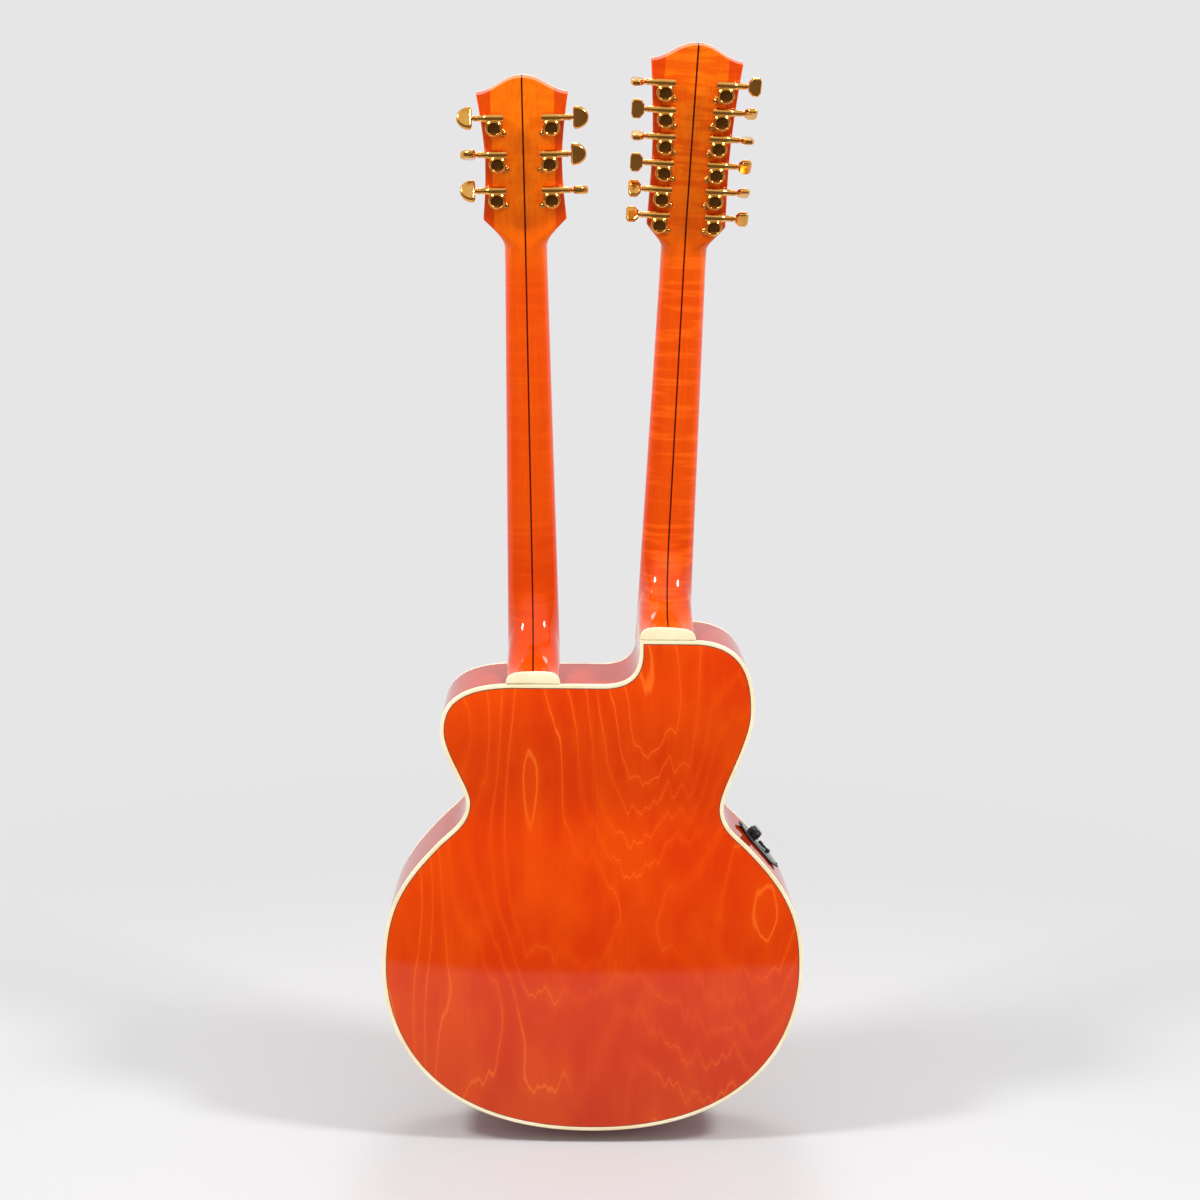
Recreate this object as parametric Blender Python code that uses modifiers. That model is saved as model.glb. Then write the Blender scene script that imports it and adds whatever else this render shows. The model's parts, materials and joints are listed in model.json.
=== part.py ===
"""Double-neck acoustic guitar: a twelve-string neck and a six-string neck on one hollow body.

Metres. The guitar stands upright: +Z runs up the centre line of the body, the strings face -Y
and the back faces +Y. The twelve-string neck is at -X and the six-string neck at +X.
The origin is the centre of the end pin's outer face, at the tail, halfway through the body's depth.
"""

import math

import bmesh
import bpy
from mathutils import Matrix, Vector

# Clearance between pieces that touch on the real guitar
GAP = 0.0003

# Body
BODY_DEPTH = 0.100
LOWER_BOUT_WIDTH = 0.432
LOWER_BOUT_HEIGHT = 0.1775
WAIST_REACH = 0.1300
SIX_WAIST_HEIGHT = 0.3545
TWELVE_WAIST_HEIGHT = 0.3505
KNEE_REACH = 0.0292
KNEE_DROP = 0.0434
KNEE_ANGLE = math.radians(46.4)
SIX_SHOULDER_HEIGHT = 0.478
SIX_SHOULDER_START = 0.0800
SIX_CROWN = 0.0495
SIX_BOUT_REACH = 0.1565
SHOULDER_STEP = 0.046
TWELVE_SHOULDER_START = 0.0950
TWELVE_CROWN = 0.0745
TWELVE_BOUT_REACH = 0.1590
CUTAWAY_EDGE = -0.0425
CUTAWAY_SPREAD = 0.037
CUTAWAY_LIP = 0.013
RIM_THICKNESS = 0.004
PLATE_THICKNESS = 0.003
BINDING_WIDTH = 0.0042
BINDING_HEIGHT = 0.006
SOUNDHOLE_RADIUS = 0.042
SOUNDHOLE_DROP = 0.0915
SOUNDHOLE_X = -0.002

# Points on each curve of the outline
LOWER_STEPS = 14
KNEE_STEPS = 8
WAIST_STEPS = 6
UPPER_STEPS = 8
CROWN_STEPS = 9
CUTAWAY_STEPS = 8

# Inner frame: linings, neck block, tail block and braces
LINING_WIDTH = 0.008
LINING_HEIGHT = 0.014
NECK_BLOCK_HEIGHT = 0.042
NECK_BLOCK_SIDE = 0.104
TAIL_BLOCK_HEIGHT = 0.030
TAIL_BLOCK_WIDTH = 0.130
BRACE_WIDTH = 0.009
BRACE_HEIGHT = 0.012
GLUE_SINK = 0.0001
BACK_BRACE_HEIGHTS = (0.095, 0.205, 0.315)
TOP_BRACE_HEIGHTS = (0.065, 0.180, 0.330)

# End pin and output jack
END_PIN_LENGTH = 0.014
END_PIN_RADIUS = 0.0075
END_PIN_NECK_RADIUS = 0.0045
END_PIN_FOOT_LENGTH = 0.003
END_PIN_FOOT_RADIUS = 0.006
END_PIN_HEAD_LENGTH = 0.005
END_PIN_HEAD_EDGE = 0.003
JACK_X = -0.045
JACK_FLANGE_RADIUS = 0.011
JACK_BARREL_RADIUS = 0.0055
JACK_SOCKET_RADIUS = 0.0034
JACK_DEPTH = 0.026
JACK_STANDOFF = 0.003
JACK_END_WALL = 0.002

# Strings and scale
SCALE_LENGTH = 0.6285
NUT_HEIGHT = 0.9015
NUT_LENGTH = 0.005
NUT_RISE = 0.0082
FRET_RISE = 0.001
FRET_WIDTH = 0.0024
FINGERBOARD_THICKNESS = 0.006
BOARD_END = 0.006
STRING_RADIUS = 0.0005
STRING_HEIGHT_ON_POST = 0.009

# Necks
NECK_THICKNESS = 0.020
HEEL_CAP_RISE = 0.013
HEEL_CAP_THICKNESS = 0.0035
HEEL_SWEEP = 0.085
TENON_WIDTH = 0.020
TENON_LENGTH = 0.022
TENON_DEPTH = 0.060
TENON_CLEARANCE = 0.0005
TENON_ROOT = 0.004
HEEL_OVERLAP = 0.002
HEEL_TURN = 0.625
HEEL_ROUNDNESS = 3.4
NECK_ROUNDNESS = 2.5

# Headstocks
HEAD_PITCH = math.radians(15)
HEAD_THICKNESS = 0.015
HEAD_CORNER_HALF = 0.0445
CREST_RISE = 0.0165
HEAD_ROOT = -0.001
# Sections that lead from the neck to the headstock: share of the flare's height, depth,
# widening over the nut and roundness
HEAD_BLEND = (
    (0.12, 0.0215, 0.0004, 2.5),
    (0.32, 0.0195, 0.0025, 2.7),
    (0.54, 0.0168, 0.0060, 3.2),
    (0.76, 0.0145, 0.0100, 4.0),
)

# Bridges
BRIDGE_WIDTH = 0.104
BRIDGE_LENGTH = 0.030
BRIDGE_THICKNESS = 0.0085
SADDLE_WIDTH = 0.072
SADDLE_THICKNESS = 0.003
SADDLE_RISE = 0.0034
SADDLE_SETBACK = 0.0105
BRIDGE_WING_LENGTH = 0.013
BRIDGE_CORNER = 0.006
PIN_SETBACK = 0.014
ANCHOR_RADIUS = 0.0012

# Tuners
TUNER_EDGE_DISTANCE = 0.0125
TUNER_HOUSING_RADIUS = 0.0081
TUNER_RECESS_RADIUS = 0.0058
TUNER_HOUSING_HEIGHT = 0.009
TUNER_RECESS_DEPTH = 0.002
TUNER_BARREL_OFFSET = 0.0092
TUNER_BARREL_RADIUS = 0.0033
TUNER_BARREL_INNER = 0.009
TUNER_SLEEVE_END = 0.0185
TUNER_SLEEVE_RADIUS = 0.0024
TUNER_BORE_RADIUS = 0.0015
TUNER_SHAFT_RADIUS = 0.0012
TUNER_SHAFT_REACH = 0.007
TUNER_COLLAR_RADIUS = 0.0026
TUNER_COLLAR_LENGTH = 0.0015
TUNER_EAR_DISTANCE = 0.0108
TUNER_EAR_RADIUS = 0.0028
TUNER_EAR_THICKNESS = 0.003
TUNER_EAR_SLOPE = math.radians(37.6)
TUNER_RING_SLOPE = 0.0006
TUNER_BARREL_CLEARANCE = 0.0012
BUSHING_RADIUS = 0.0046
BUSHING_WASHER_RADIUS = 0.007
BUSHING_WASHER_HEIGHT = 0.0022
POST_RADIUS = 0.003
POST_HEIGHT = 0.018
BUTTON_FACE = 0.0212
BUTTON_HUB_RADIUS = 0.0018
BUTTON_HUB_SINK = 0.002
MOON_LENGTH = 0.0152
MOON_WIDTH = 0.0225
MOON_THICKNESS = 0.008
MOON_EDGE = 0.002
KEYSTONE_LENGTH = 0.0126
KEYSTONE_WIDTH = 0.0186
KEYSTONE_THICKNESS = 0.0056

# Preamp in the side below the waist
PANEL_LENGTH = 0.063
PANEL_WIDTH = 0.044
PANEL_STRAIGHT = 0.034
PANEL_THICKNESS = 0.002
PANEL_TIP = 0.007
PANEL_Y = -0.008
PANEL_CLIMB = 0.665
PANEL_STEEPNESS = 0.83
PREAMP_BOX_LENGTH = 0.042
PREAMP_BOX_WIDTH = 0.030
PREAMP_BOX_DEPTH = 0.018
PREAMP_WALL = 0.002
PREAMP_CLEARANCE = 0.0006
KNOB_RADIUS = 0.0072
KNOB_TOP_RADIUS = 0.0058
KNOB_HEIGHT = 0.0095
KNOB_SHOULDER = 0.0065
KNOB_RIB_DEPTH = 0.0006
KNOB_RIBS = 14
KNOB_SHAFT_RADIUS = 0.002
KNOB_SHAFT_REACH = 0.006
KNOB_PLACE = -0.0125
SELECTOR_PLACE = 0.0005
SELECTOR_RING_RADIUS = 0.0046
SELECTOR_RING_BORE = 0.0034
SELECTOR_RING_HEIGHT = 0.0022
SELECTOR_SHAFT_RADIUS = 0.0016
SELECTOR_HUB_RADIUS = 0.0029
SELECTOR_LEVER_LENGTH = 0.0130
SELECTOR_LEVER_WIDTH = 0.0052
SELECTOR_LEVER_TIP = 0.0022
SELECTOR_LEVER_THICKNESS = 0.0018
BUTTON_PLACE = 0.0145
BUTTON_SIDE = 0.0085
PRESS_BUTTON_RADIUS = 0.0022
PRESS_BUTTON_RISE = 0.0028
PRESS_BUTTON_EDGE = 0.0004
PRESS_BUTTON_FLANGE = 0.0034
PRESS_BUTTON_FLANGE_END = 0.0035
PRESS_BUTTON_STEM = 0.006
HOLE_CLEARANCE = 0.0005

# Worked out from the sizes above: heights count from the tail
SIX_BOUT_HEIGHT = SIX_SHOULDER_HEIGHT - SIX_CROWN
TWELVE_SHOULDER_HEIGHT = SIX_SHOULDER_HEIGHT + SHOULDER_STEP
TWELVE_BOUT_HEIGHT = TWELVE_SHOULDER_HEIGHT - TWELVE_CROWN
CUTAWAY_RISE = SHOULDER_STEP - CUTAWAY_LIP
SOUNDHOLE_HEIGHT = SIX_SHOULDER_HEIGHT - SOUNDHOLE_DROP
TAIL_Z = END_PIN_LENGTH
FRONT_Y = -BODY_DEPTH / 2
BACK_Y = BODY_DEPTH / 2
NUT_Z = TAIL_Z + NUT_HEIGHT
LINING_INSET = BINDING_WIDTH + GAP
INNER_HALF_DEPTH = BODY_DEPTH / 2 - PLATE_THICKNESS - GAP
STRING_AT_NUT = GAP + NUT_RISE + GAP + STRING_RADIUS
STRING_AT_SADDLE = GAP + BRIDGE_THICKNESS + SADDLE_RISE + GAP + STRING_RADIUS

# Each neck: centre line at the nut, lean from the vertical, widths and what it carries
NECKS = {
    "6": {
        "name": "neck_6_string",
        "x": 0.0746,
        "lean": math.radians(1.5),
        "nut_half": 0.0212,
        "heel_half": 0.0272,
        "shoulder": SIX_SHOULDER_HEIGHT,
        "frets": 22,
        "string_count": 6,
        "nut_spread": 0.0178,
        "saddle_spread": 0.0265,
        "pair": 0.0,
        "tuners_a_side": 3,
        "first_tuner": 0.0530,
        "tuner_step": 0.0358,
        "corner_height": 0.155,
        "waist_height": 0.089,
        "waist_half": 0.0378,
        "flare_height": 0.0315,
        "flare_half": 0.0415,
        "flare_hollow": 0.0120,
    },
    "12": {
        "name": "neck_12_string",
        "x": -0.0836,
        "lean": math.radians(-2.0),
        "nut_half": 0.0228,
        "heel_half": 0.0280,
        "shoulder": TWELVE_SHOULDER_HEIGHT,
        "frets": 20,
        "string_count": 12,
        "nut_spread": 0.0195,
        "saddle_spread": 0.0272,
        "pair": 0.0024,
        "tuners_a_side": 6,
        "first_tuner": 0.0288,
        "tuner_step": 0.0261,
        "corner_height": 0.188,
        "waist_height": 0.092,
        "waist_half": 0.0381,
        "flare_height": 0.0270,
        "flare_half": 0.0394,
        "flare_hollow": 0.0070,
    },
}

ORANGE = (0.80, 0.115, 0.010)
CREAM = (0.80, 0.68, 0.40)
GOLD = (0.83, 0.55, 0.20)


def collection(name):
    made = bpy.data.collections.new(name)
    bpy.context.scene.collection.children.link(made)
    return made


def material(name, colour, roughness, metallic=0.0):
    made = bpy.data.materials.new(name)
    made.use_nodes = True
    shader = made.node_tree.nodes["Principled BSDF"]
    shader.inputs["Base Color"].default_value = (*colour, 1.0)
    shader.inputs["Roughness"].default_value = roughness
    shader.inputs["Metallic"].default_value = metallic
    return made


def empty(name, matrix, parent=None):
    made = bpy.data.objects.new(name, None)
    made.empty_display_size = 0.02
    GUITAR.objects.link(made)
    made.parent = parent
    made.matrix_world = matrix
    return made


def place(name, mesh, matrix, finish=None, parent=None):
    """A mesh as an object: a part with a finish, or a hidden helper without one."""
    made = bpy.data.objects.new(name, mesh)
    if finish:
        GUITAR.objects.link(made)
        if not mesh.materials:
            mesh.materials.append(finish)
    else:
        CUTTERS.objects.link(made)
        made.hide_render = True
        made.display_type = "WIRE"
    made.parent = parent
    made.matrix_world = matrix
    return made


def boolean(obj, other, operation):
    made = obj.modifiers.new(f"{operation.lower()} {other.name}", "BOOLEAN")
    made.operation = operation
    made.solver = "EXACT"
    made.object = other
    return made


def applied(obj, name):
    """The object's evaluated mesh as a new mesh, after which the object is removed."""
    bpy.context.view_layer.update()
    graph = bpy.context.evaluated_depsgraph_get()
    mesh = bpy.data.meshes.new_from_object(obj.evaluated_get(graph))
    mesh.name = name
    mesh.materials.clear()
    bpy.data.objects.remove(obj)
    bm = bmesh.new()
    bm.from_mesh(mesh)
    bmesh.ops.remove_doubles(bm, verts=bm.verts, dist=0.000001)
    bmesh.ops.recalc_face_normals(bm, faces=bm.faces)
    bm.to_mesh(mesh)
    bm.free()
    return mesh


def flat_mesh(name, loops, thickness):
    """An outline, with any holes, filled and given a thickness along local Z, centred."""
    curve = bpy.data.curves.new(name, "CURVE")
    curve.dimensions = "2D"
    curve.fill_mode = "BOTH"
    curve.extrude = thickness / 2
    for loop in loops:
        spline = curve.splines.new("POLY")
        spline.points.add(len(loop) - 1)
        for point, (x, y) in zip(spline.points, loop):
            point.co = (x, y, 0.0, 1.0)
        spline.use_cyclic_u = True
    drawn = bpy.data.objects.new(name, curve)
    CUTTERS.objects.link(drawn)
    mesh = applied(drawn, name)
    bpy.data.curves.remove(curve)
    return mesh


def box_mesh(name, low, high):
    bm = bmesh.new()
    bmesh.ops.create_cube(bm, size=1.0)
    low = Vector(low)
    size = Vector(high) - low
    for vertex in bm.verts:
        vertex.co = Vector((low[i] + (vertex.co[i] + 0.5) * size[i] for i in range(3)))
    mesh = bpy.data.meshes.new(name)
    bm.to_mesh(mesh)
    bm.free()
    return mesh


def cylinder_mesh(name, radius, start, end, sides):
    """A cylinder along local Z between two heights."""
    bm = bmesh.new()
    bmesh.ops.create_cone(
        bm, cap_ends=True, segments=sides, radius1=radius, radius2=radius, depth=end - start
    )
    bmesh.ops.translate(bm, verts=bm.verts, vec=(0.0, 0.0, (start + end) / 2))
    mesh = bpy.data.meshes.new(name)
    bm.to_mesh(mesh)
    bm.free()
    return mesh


def turned_mesh(name, profile, steps):
    """A profile of (radius, height) points, from the top of its outer side down, turned about Z."""
    mesh = bpy.data.meshes.new(name)
    points = [(radius, 0.0, height) for radius, height in profile]
    edges = [(i, i + 1) for i in range(len(points) - 1)]
    mesh.from_pydata(points, edges, [])
    turned = bpy.data.objects.new(name, mesh)
    CUTTERS.objects.link(turned)
    screw = turned.modifiers.new("turn", "SCREW")
    screw.steps = steps
    screw.render_steps = steps
    screw.use_merge_vertices = True
    screw.merge_threshold = 0.00001
    made = applied(turned, name)
    bpy.data.meshes.remove(mesh)
    return made


def joined_mesh(name, pieces):
    """The union of several (mesh, matrix) pairs, in the frame that the matrices lead to."""
    helpers = []
    for number, (mesh, matrix) in enumerate(pieces):
        mesh.transform(matrix)
        helpers.append(place(f"{name} piece {number}", mesh, Matrix()))
    whole = helpers.pop(0)
    for helper in helpers:
        boolean(whole, helper, "UNION")
    made = applied(whole, name)
    for helper in helpers:
        bpy.data.objects.remove(helper)
    return made


def smooth(obj, angle=30):
    obj.data.shade_smooth()
    obj.data.set_sharp_from_angle(angle=math.radians(angle))


def bezier(start, start_handle, end_handle, end, steps):
    """Points of one cubic curve, without its end point."""
    points = []
    for step in range(steps):
        t = step / steps
        weights = ((1 - t) ** 3, 3 * t * (1 - t) ** 2, 3 * t * t * (1 - t), t**3)
        corners = (start, start_handle, end_handle, end)
        points.append(tuple(sum(w * c[i] for w, c in zip(weights, corners)) for i in (0, 1)))
    return points


def side_curves(waist_height, reach, bout_height, shoulder_height, shoulder_start):
    """One side of the body from the tail to the shoulder, as (x, height) points."""
    lower = (LOWER_BOUT_WIDTH / 2, LOWER_BOUT_HEIGHT)
    knee = (WAIST_REACH + KNEE_REACH, waist_height - KNEE_DROP)
    waist = (WAIST_REACH, waist_height)
    upper = (reach, bout_height)
    shoulder = (shoulder_start, shoulder_height)
    climb = knee[1] - lower[1]
    slope = (-math.cos(KNEE_ANGLE), math.sin(KNEE_ANGLE))
    rise = upper[1] - waist[1]
    crown = shoulder[1] - upper[1]
    inward = upper[0] - shoulder[0]
    points = bezier(
        (0, 0), (0.77 * lower[0], 0), (lower[0], 0.56 * lower[1]), lower, LOWER_STEPS
    )
    points += bezier(
        lower,
        (lower[0], lower[1] + 0.47 * climb),
        (knee[0] - 0.42 * climb * slope[0], knee[1] - 0.42 * climb * slope[1]),
        knee,
        KNEE_STEPS,
    )
    points += bezier(
        knee,
        (knee[0] + 0.46 * KNEE_DROP * slope[0], knee[1] + 0.46 * KNEE_DROP * slope[1]),
        (waist[0], waist[1] - 0.48 * KNEE_DROP),
        waist,
        WAIST_STEPS,
    )
    points += bezier(
        waist,
        (waist[0], waist[1] + 0.20 * rise),
        (upper[0], upper[1] - 0.32 * rise),
        upper,
        UPPER_STEPS,
    )
    points += bezier(
        upper,
        (upper[0], upper[1] + 0.56 * crown),
        (shoulder[0] + 0.8 * inward, shoulder[1]),
        shoulder,
        CROWN_STEPS,
    )
    return points + [shoulder]


def six_side():
    return side_curves(
        SIX_WAIST_HEIGHT, SIX_BOUT_REACH, SIX_BOUT_HEIGHT, SIX_SHOULDER_HEIGHT, SIX_SHOULDER_START
    )


def twelve_side():
    return side_curves(
        TWELVE_WAIST_HEIGHT,
        TWELVE_BOUT_REACH,
        TWELVE_BOUT_HEIGHT,
        TWELVE_SHOULDER_HEIGHT,
        TWELVE_SHOULDER_START,
    )


def body_outline():
    """The body's outer outline as (x, z) points, anticlockwise seen with +X right and +Z up."""
    start = (CUTAWAY_EDGE + CUTAWAY_SPREAD, SIX_SHOULDER_HEIGHT)
    end = (CUTAWAY_EDGE, SIX_SHOULDER_HEIGHT + CUTAWAY_RISE)
    cutaway = bezier(
        start,
        (start[0] - 0.68 * CUTAWAY_SPREAD, start[1]),
        (end[0], end[1] - 0.72 * CUTAWAY_RISE),
        end,
        CUTAWAY_STEPS,
    )
    corner = (CUTAWAY_EDGE, TWELVE_SHOULDER_HEIGHT)
    other = [(-x, z) for x, z in reversed(twelve_side()[1:])]
    loop = six_side() + cutaway + [end, corner] + other
    return [(x, z + TAIL_Z) for x, z in loop]


def inset_outline(inset):
    """The outline moved inwards by the same distance all round, with mitred corners."""
    loop = body_outline()
    moved = []
    for index, here in enumerate(loop):
        before = Vector(here) - Vector(loop[index - 1])
        after = Vector(loop[(index + 1) % len(loop)]) - Vector(here)
        normals = [Vector((-edge.y, edge.x)).normalized() for edge in (before, after)]
        mitre = (normals[0] + normals[1]).normalized()
        reach = inset / max(mitre.dot(normals[0]), 0.3)
        moved.append((here[0] + mitre.x * reach, here[1] + mitre.y * reach))
    return moved


# Turns a flat mesh drawn in local X and Y to stand in X and Z, with its thickness along Y
STANDING = Matrix.Rotation(math.radians(90), 4, "X")


def standing(middle_y):
    return Matrix.Translation((0.0, middle_y, 0.0)) @ STANDING


def ring_mesh(name, outer_inset, inner_inset, depth):
    return flat_mesh(name, [inset_outline(outer_inset), inset_outline(inner_inset)], depth)


def circle(centre_x, centre_y, radius, sides):
    angles = [2 * math.pi * step / sides for step in range(sides)]
    return [(centre_x + radius * math.cos(a), centre_y + radius * math.sin(a)) for a in angles]


def neck_frame(spec):
    """The neck's own frame: Z along it from the nut, Y from its front face towards its back."""
    return Matrix.Translation((spec["x"], FRONT_Y, NUT_Z)) @ Matrix.Rotation(spec["lean"], 4, "Y")


def head_frame(spec):
    """The headstock's frame: Z along it from the nut, Y from its front face towards its back."""
    return (
        neck_frame(spec)
        @ Matrix.Translation((0.0, 0.0, NUT_LENGTH))
        @ Matrix.Rotation(-HEAD_PITCH, 4, "X")
    )


def heel_drop(spec):
    """Distance from the nut down to the body's edge, along the neck."""
    return (NUT_HEIGHT - spec["shoulder"]) / math.cos(spec["lean"])


def fret_distance(number):
    return SCALE_LENGTH * (1 - 2 ** (-number / 12))


def half_width(spec, below_nut):
    """Half the neck's width at a distance below the nut."""
    slope = (spec["heel_half"] - spec["nut_half"]) / heel_drop(spec)
    return spec["nut_half"] + slope * below_nut


def neck_section(front, back, half, roundness):
    """A D-shaped section: its flat side at the front point, its crown at the back point."""
    front = Vector((0.0, *front))
    depth = Vector((0.0, *back)) - front
    points = []
    steps = 10
    for step in range(steps + 1):
        angle = math.pi * step / steps
        across = math.copysign(abs(math.cos(angle)) ** (2 / roundness), math.cos(angle))
        down = math.sin(angle) ** (2 / roundness)
        points.append(front + Vector((half * across, 0.0, 0.0)) + depth * down)
    return points


def loft_mesh(name, sections):
    bm = bmesh.new()
    rings = [[bm.verts.new(point) for point in section] for section in sections]
    for lower, upper in zip(rings, rings[1:]):
        for index in range(len(lower)):
            following = (index + 1) % len(lower)
            bm.faces.new((lower[index], lower[following], upper[following], upper[index]))
    bm.faces.new(rings[0])
    bm.faces.new(rings[-1])
    bmesh.ops.recalc_face_normals(bm, faces=bm.faces)
    mesh = bpy.data.meshes.new(name)
    bm.to_mesh(mesh)
    bm.free()
    return mesh


def neck_shaft_mesh(spec):
    """The neck from the heel cap's seat, round the heel, up the shaft and into the headstock."""
    edge = -heel_drop(spec)
    seat = BODY_DEPTH - HEEL_CAP_THICKNESS - GAP
    sections = []
    fan_steps = 8
    for step in range(fan_steps + 1):
        part = step / fan_steps
        # The crown runs from the heel cap's tip up a quarter of an ellipse to the neck's back.
        angle = part * math.pi / 2
        crown_z = edge + HEEL_CAP_RISE + HEEL_SWEEP * (1 - math.cos(angle))
        crown_y = seat - (seat - NECK_THICKNESS) * math.sin(angle)
        foot_y = max(seat * (1 - part / HEEL_TURN), 0.0)
        foot_z = edge - HEEL_OVERLAP
        if foot_y == 0.0:
            foot_z = edge + (crown_z - edge) * (part - HEEL_TURN) / (1 - HEEL_TURN)
        roundness = HEEL_ROUNDNESS + (NECK_ROUNDNESS - HEEL_ROUNDNESS) * part
        sections.append(
            neck_section((foot_y, foot_z), (crown_y, crown_z), half_width(spec, -foot_z), roundness)
        )
    for below in (0.2 * heel_drop(spec), 2.4 * NUT_LENGTH):
        sections.append(
            neck_section((0.0, -below), (NECK_THICKNESS, -below), half_width(spec, below), NECK_ROUNDNESS)
        )
    tilt = Matrix.Translation((0.0, 0.0, NUT_LENGTH)) @ Matrix.Rotation(-HEAD_PITCH, 4, "X")
    for share, depth, widening, roundness in HEAD_BLEND:
        half = spec["nut_half"] + widening
        along = share * spec["flare_height"]
        front = tilt @ Vector((0.0, 0.0, along))
        back = tilt @ Vector((0.0, depth, along))
        sections.append(neck_section((front.y, front.z), (back.y, back.z), half, roundness))
    return loft_mesh(f"{spec['name']} shaft", sections)


def head_half_width(spec, along):
    """Half the headstock's width at a distance from the nut, above the flare."""
    corner = spec["corner_height"]
    waist = spec["waist_height"]
    if along > waist:
        share = (along - waist) / (corner - waist)
        return spec["waist_half"] + (HEAD_CORNER_HALF - spec["waist_half"]) * share**1.6
    share = (waist - along) / (waist - spec["flare_height"])
    return spec["waist_half"] + (spec["flare_half"] - spec["waist_half"]) * share**1.8


def head_outline(spec):
    """The headstock's outline as (x, along) points, anticlockwise, from the nut round the crest."""
    corner = spec["corner_height"]
    flare = spec["flare_height"]
    root = (spec["nut_half"], HEAD_ROOT)
    shoulder = (spec["flare_half"], flare)
    side = bezier(
        root, (root[0] + 0.0005, 0.35 * flare), (shoulder[0] - spec["flare_hollow"], 0.62 * flare), shoulder, 6
    )
    steps = 6
    for step in range(steps):
        along = flare + (corner - flare) * step / steps
        side.append((head_half_width(spec, along), along))
    crest = bezier(
        (HEAD_CORNER_HALF, corner),
        (0.62 * HEAD_CORNER_HALF, corner + 0.08 * CREST_RISE),
        (0.40 * HEAD_CORNER_HALF, corner + CREST_RISE),
        (0.0, corner + CREST_RISE),
        7,
    )
    right = side + crest
    left = [(-x, along) for x, along in reversed(right)]
    return right + [(0.0, corner + CREST_RISE)] + left


def tuner_places(spec):
    """(side, number from the nut, x, along) of every tuner; side is -1 for bass, 1 for treble."""
    places = []
    for side in (-1, 1):
        for number in range(spec["tuners_a_side"]):
            along = spec["first_tuner"] + number * spec["tuner_step"]
            across = head_half_width(spec, along) - TUNER_EDGE_DISTANCE
            places.append((side, number + 1, side * across, along))
    return places


def make_neck(spec):
    frame = neck_frame(spec)
    head = head_frame(spec)
    root = empty(f"{spec['name']}_axis", frame)
    neck = place(spec["name"], neck_shaft_mesh(spec), frame, ORANGE_LACQUER, root)
    slab = flat_mesh(f"{spec['name']} head", [head_outline(spec)], HEAD_THICKNESS)
    lying = Matrix.Translation((0.0, HEAD_THICKNESS / 2, 0.0)) @ STANDING
    boolean(neck, place(f"{spec['name']} head", slab, head @ lying), "UNION")
    boolean(neck, BODY_CUTTER, "DIFFERENCE")
    edge_z = TAIL_Z + spec["shoulder"]
    middle_x = (frame @ Vector((0.0, 0.0, -heel_drop(spec)))).x
    tenon = box_mesh(
        f"{spec['name']} tenon",
        (middle_x - TENON_WIDTH / 2, FRONT_Y + BINDING_HEIGHT + GAP, edge_z - TENON_LENGTH),
        (middle_x + TENON_WIDTH / 2, FRONT_Y + TENON_DEPTH, edge_z + TENON_ROOT),
    )
    boolean(neck, place(f"{spec['name']} tenon", tenon, Matrix()), "UNION")
    grow = TENON_CLEARANCE
    socket = box_mesh(
        f"{spec['name']} mortise",
        (middle_x - TENON_WIDTH / 2 - grow, FRONT_Y - grow, edge_z - TENON_LENGTH - grow),
        (middle_x + TENON_WIDTH / 2 + grow, FRONT_Y + TENON_DEPTH + grow, edge_z + TENON_LENGTH),
    )
    spec["mortise"] = place(f"{spec['name']} mortise", socket, Matrix())
    hole = cylinder_mesh(
        "tuner hole", BUSHING_RADIUS + GAP, -3 * HEAD_THICKNESS, 3 * HEAD_THICKNESS, 10
    )
    for side, number, across, along in tuner_places(spec):
        middle = head @ Matrix.Translation((across, 0.0, along)) @ STANDING
        cutter = place(f"{spec['name']} hole {side} {number}", hole, middle)
        boolean(neck, cutter, "DIFFERENCE")
    return root


def make_fingerboard(label, spec, root):
    """The board's side profile, frets included, drawn along the neck and spread to its taper."""
    end = fret_distance(spec["frets"]) + BOARD_END
    top = -(GAP + FINGERBOARD_THICKNESS)
    profile = [(-GAP, -GAP), (top, -GAP)]
    for number in range(1, spec["frets"] + 1):
        middle = -fret_distance(number)
        profile += [
            (top, middle + FRET_WIDTH / 2),
            (top - FRET_RISE, middle + FRET_WIDTH / 4),
            (top - FRET_RISE, middle - FRET_WIDTH / 4),
            (top, middle - FRET_WIDTH / 2),
        ]
    profile += [(top, -end), (-GAP, -end)]
    bm = bmesh.new()
    sides = []
    for side in (-1, 1):
        corners = [bm.verts.new((side * half_width(spec, -z), y, z)) for y, z in profile]
        bm.faces.new(corners)
        sides.append(corners)
    for index in range(len(profile)):
        following = (index + 1) % len(profile)
        bm.faces.new((sides[0][index], sides[0][following], sides[1][following], sides[1][index]))
    bmesh.ops.recalc_face_normals(bm, faces=bm.faces)
    mesh = bpy.data.meshes.new(f"fingerboard_{label}")
    bm.to_mesh(mesh)
    bm.free()
    place(f"fingerboard_{label}", mesh, neck_frame(spec), ROSEWOOD, root)


def make_nut(label, spec, root):
    half = spec["nut_half"]
    mesh = box_mesh(f"nut_{label}", (-half, -GAP - NUT_RISE, 0.0), (half, -GAP, NUT_LENGTH - GAP))
    place(f"nut_{label}", mesh, neck_frame(spec), BONE, root)


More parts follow.
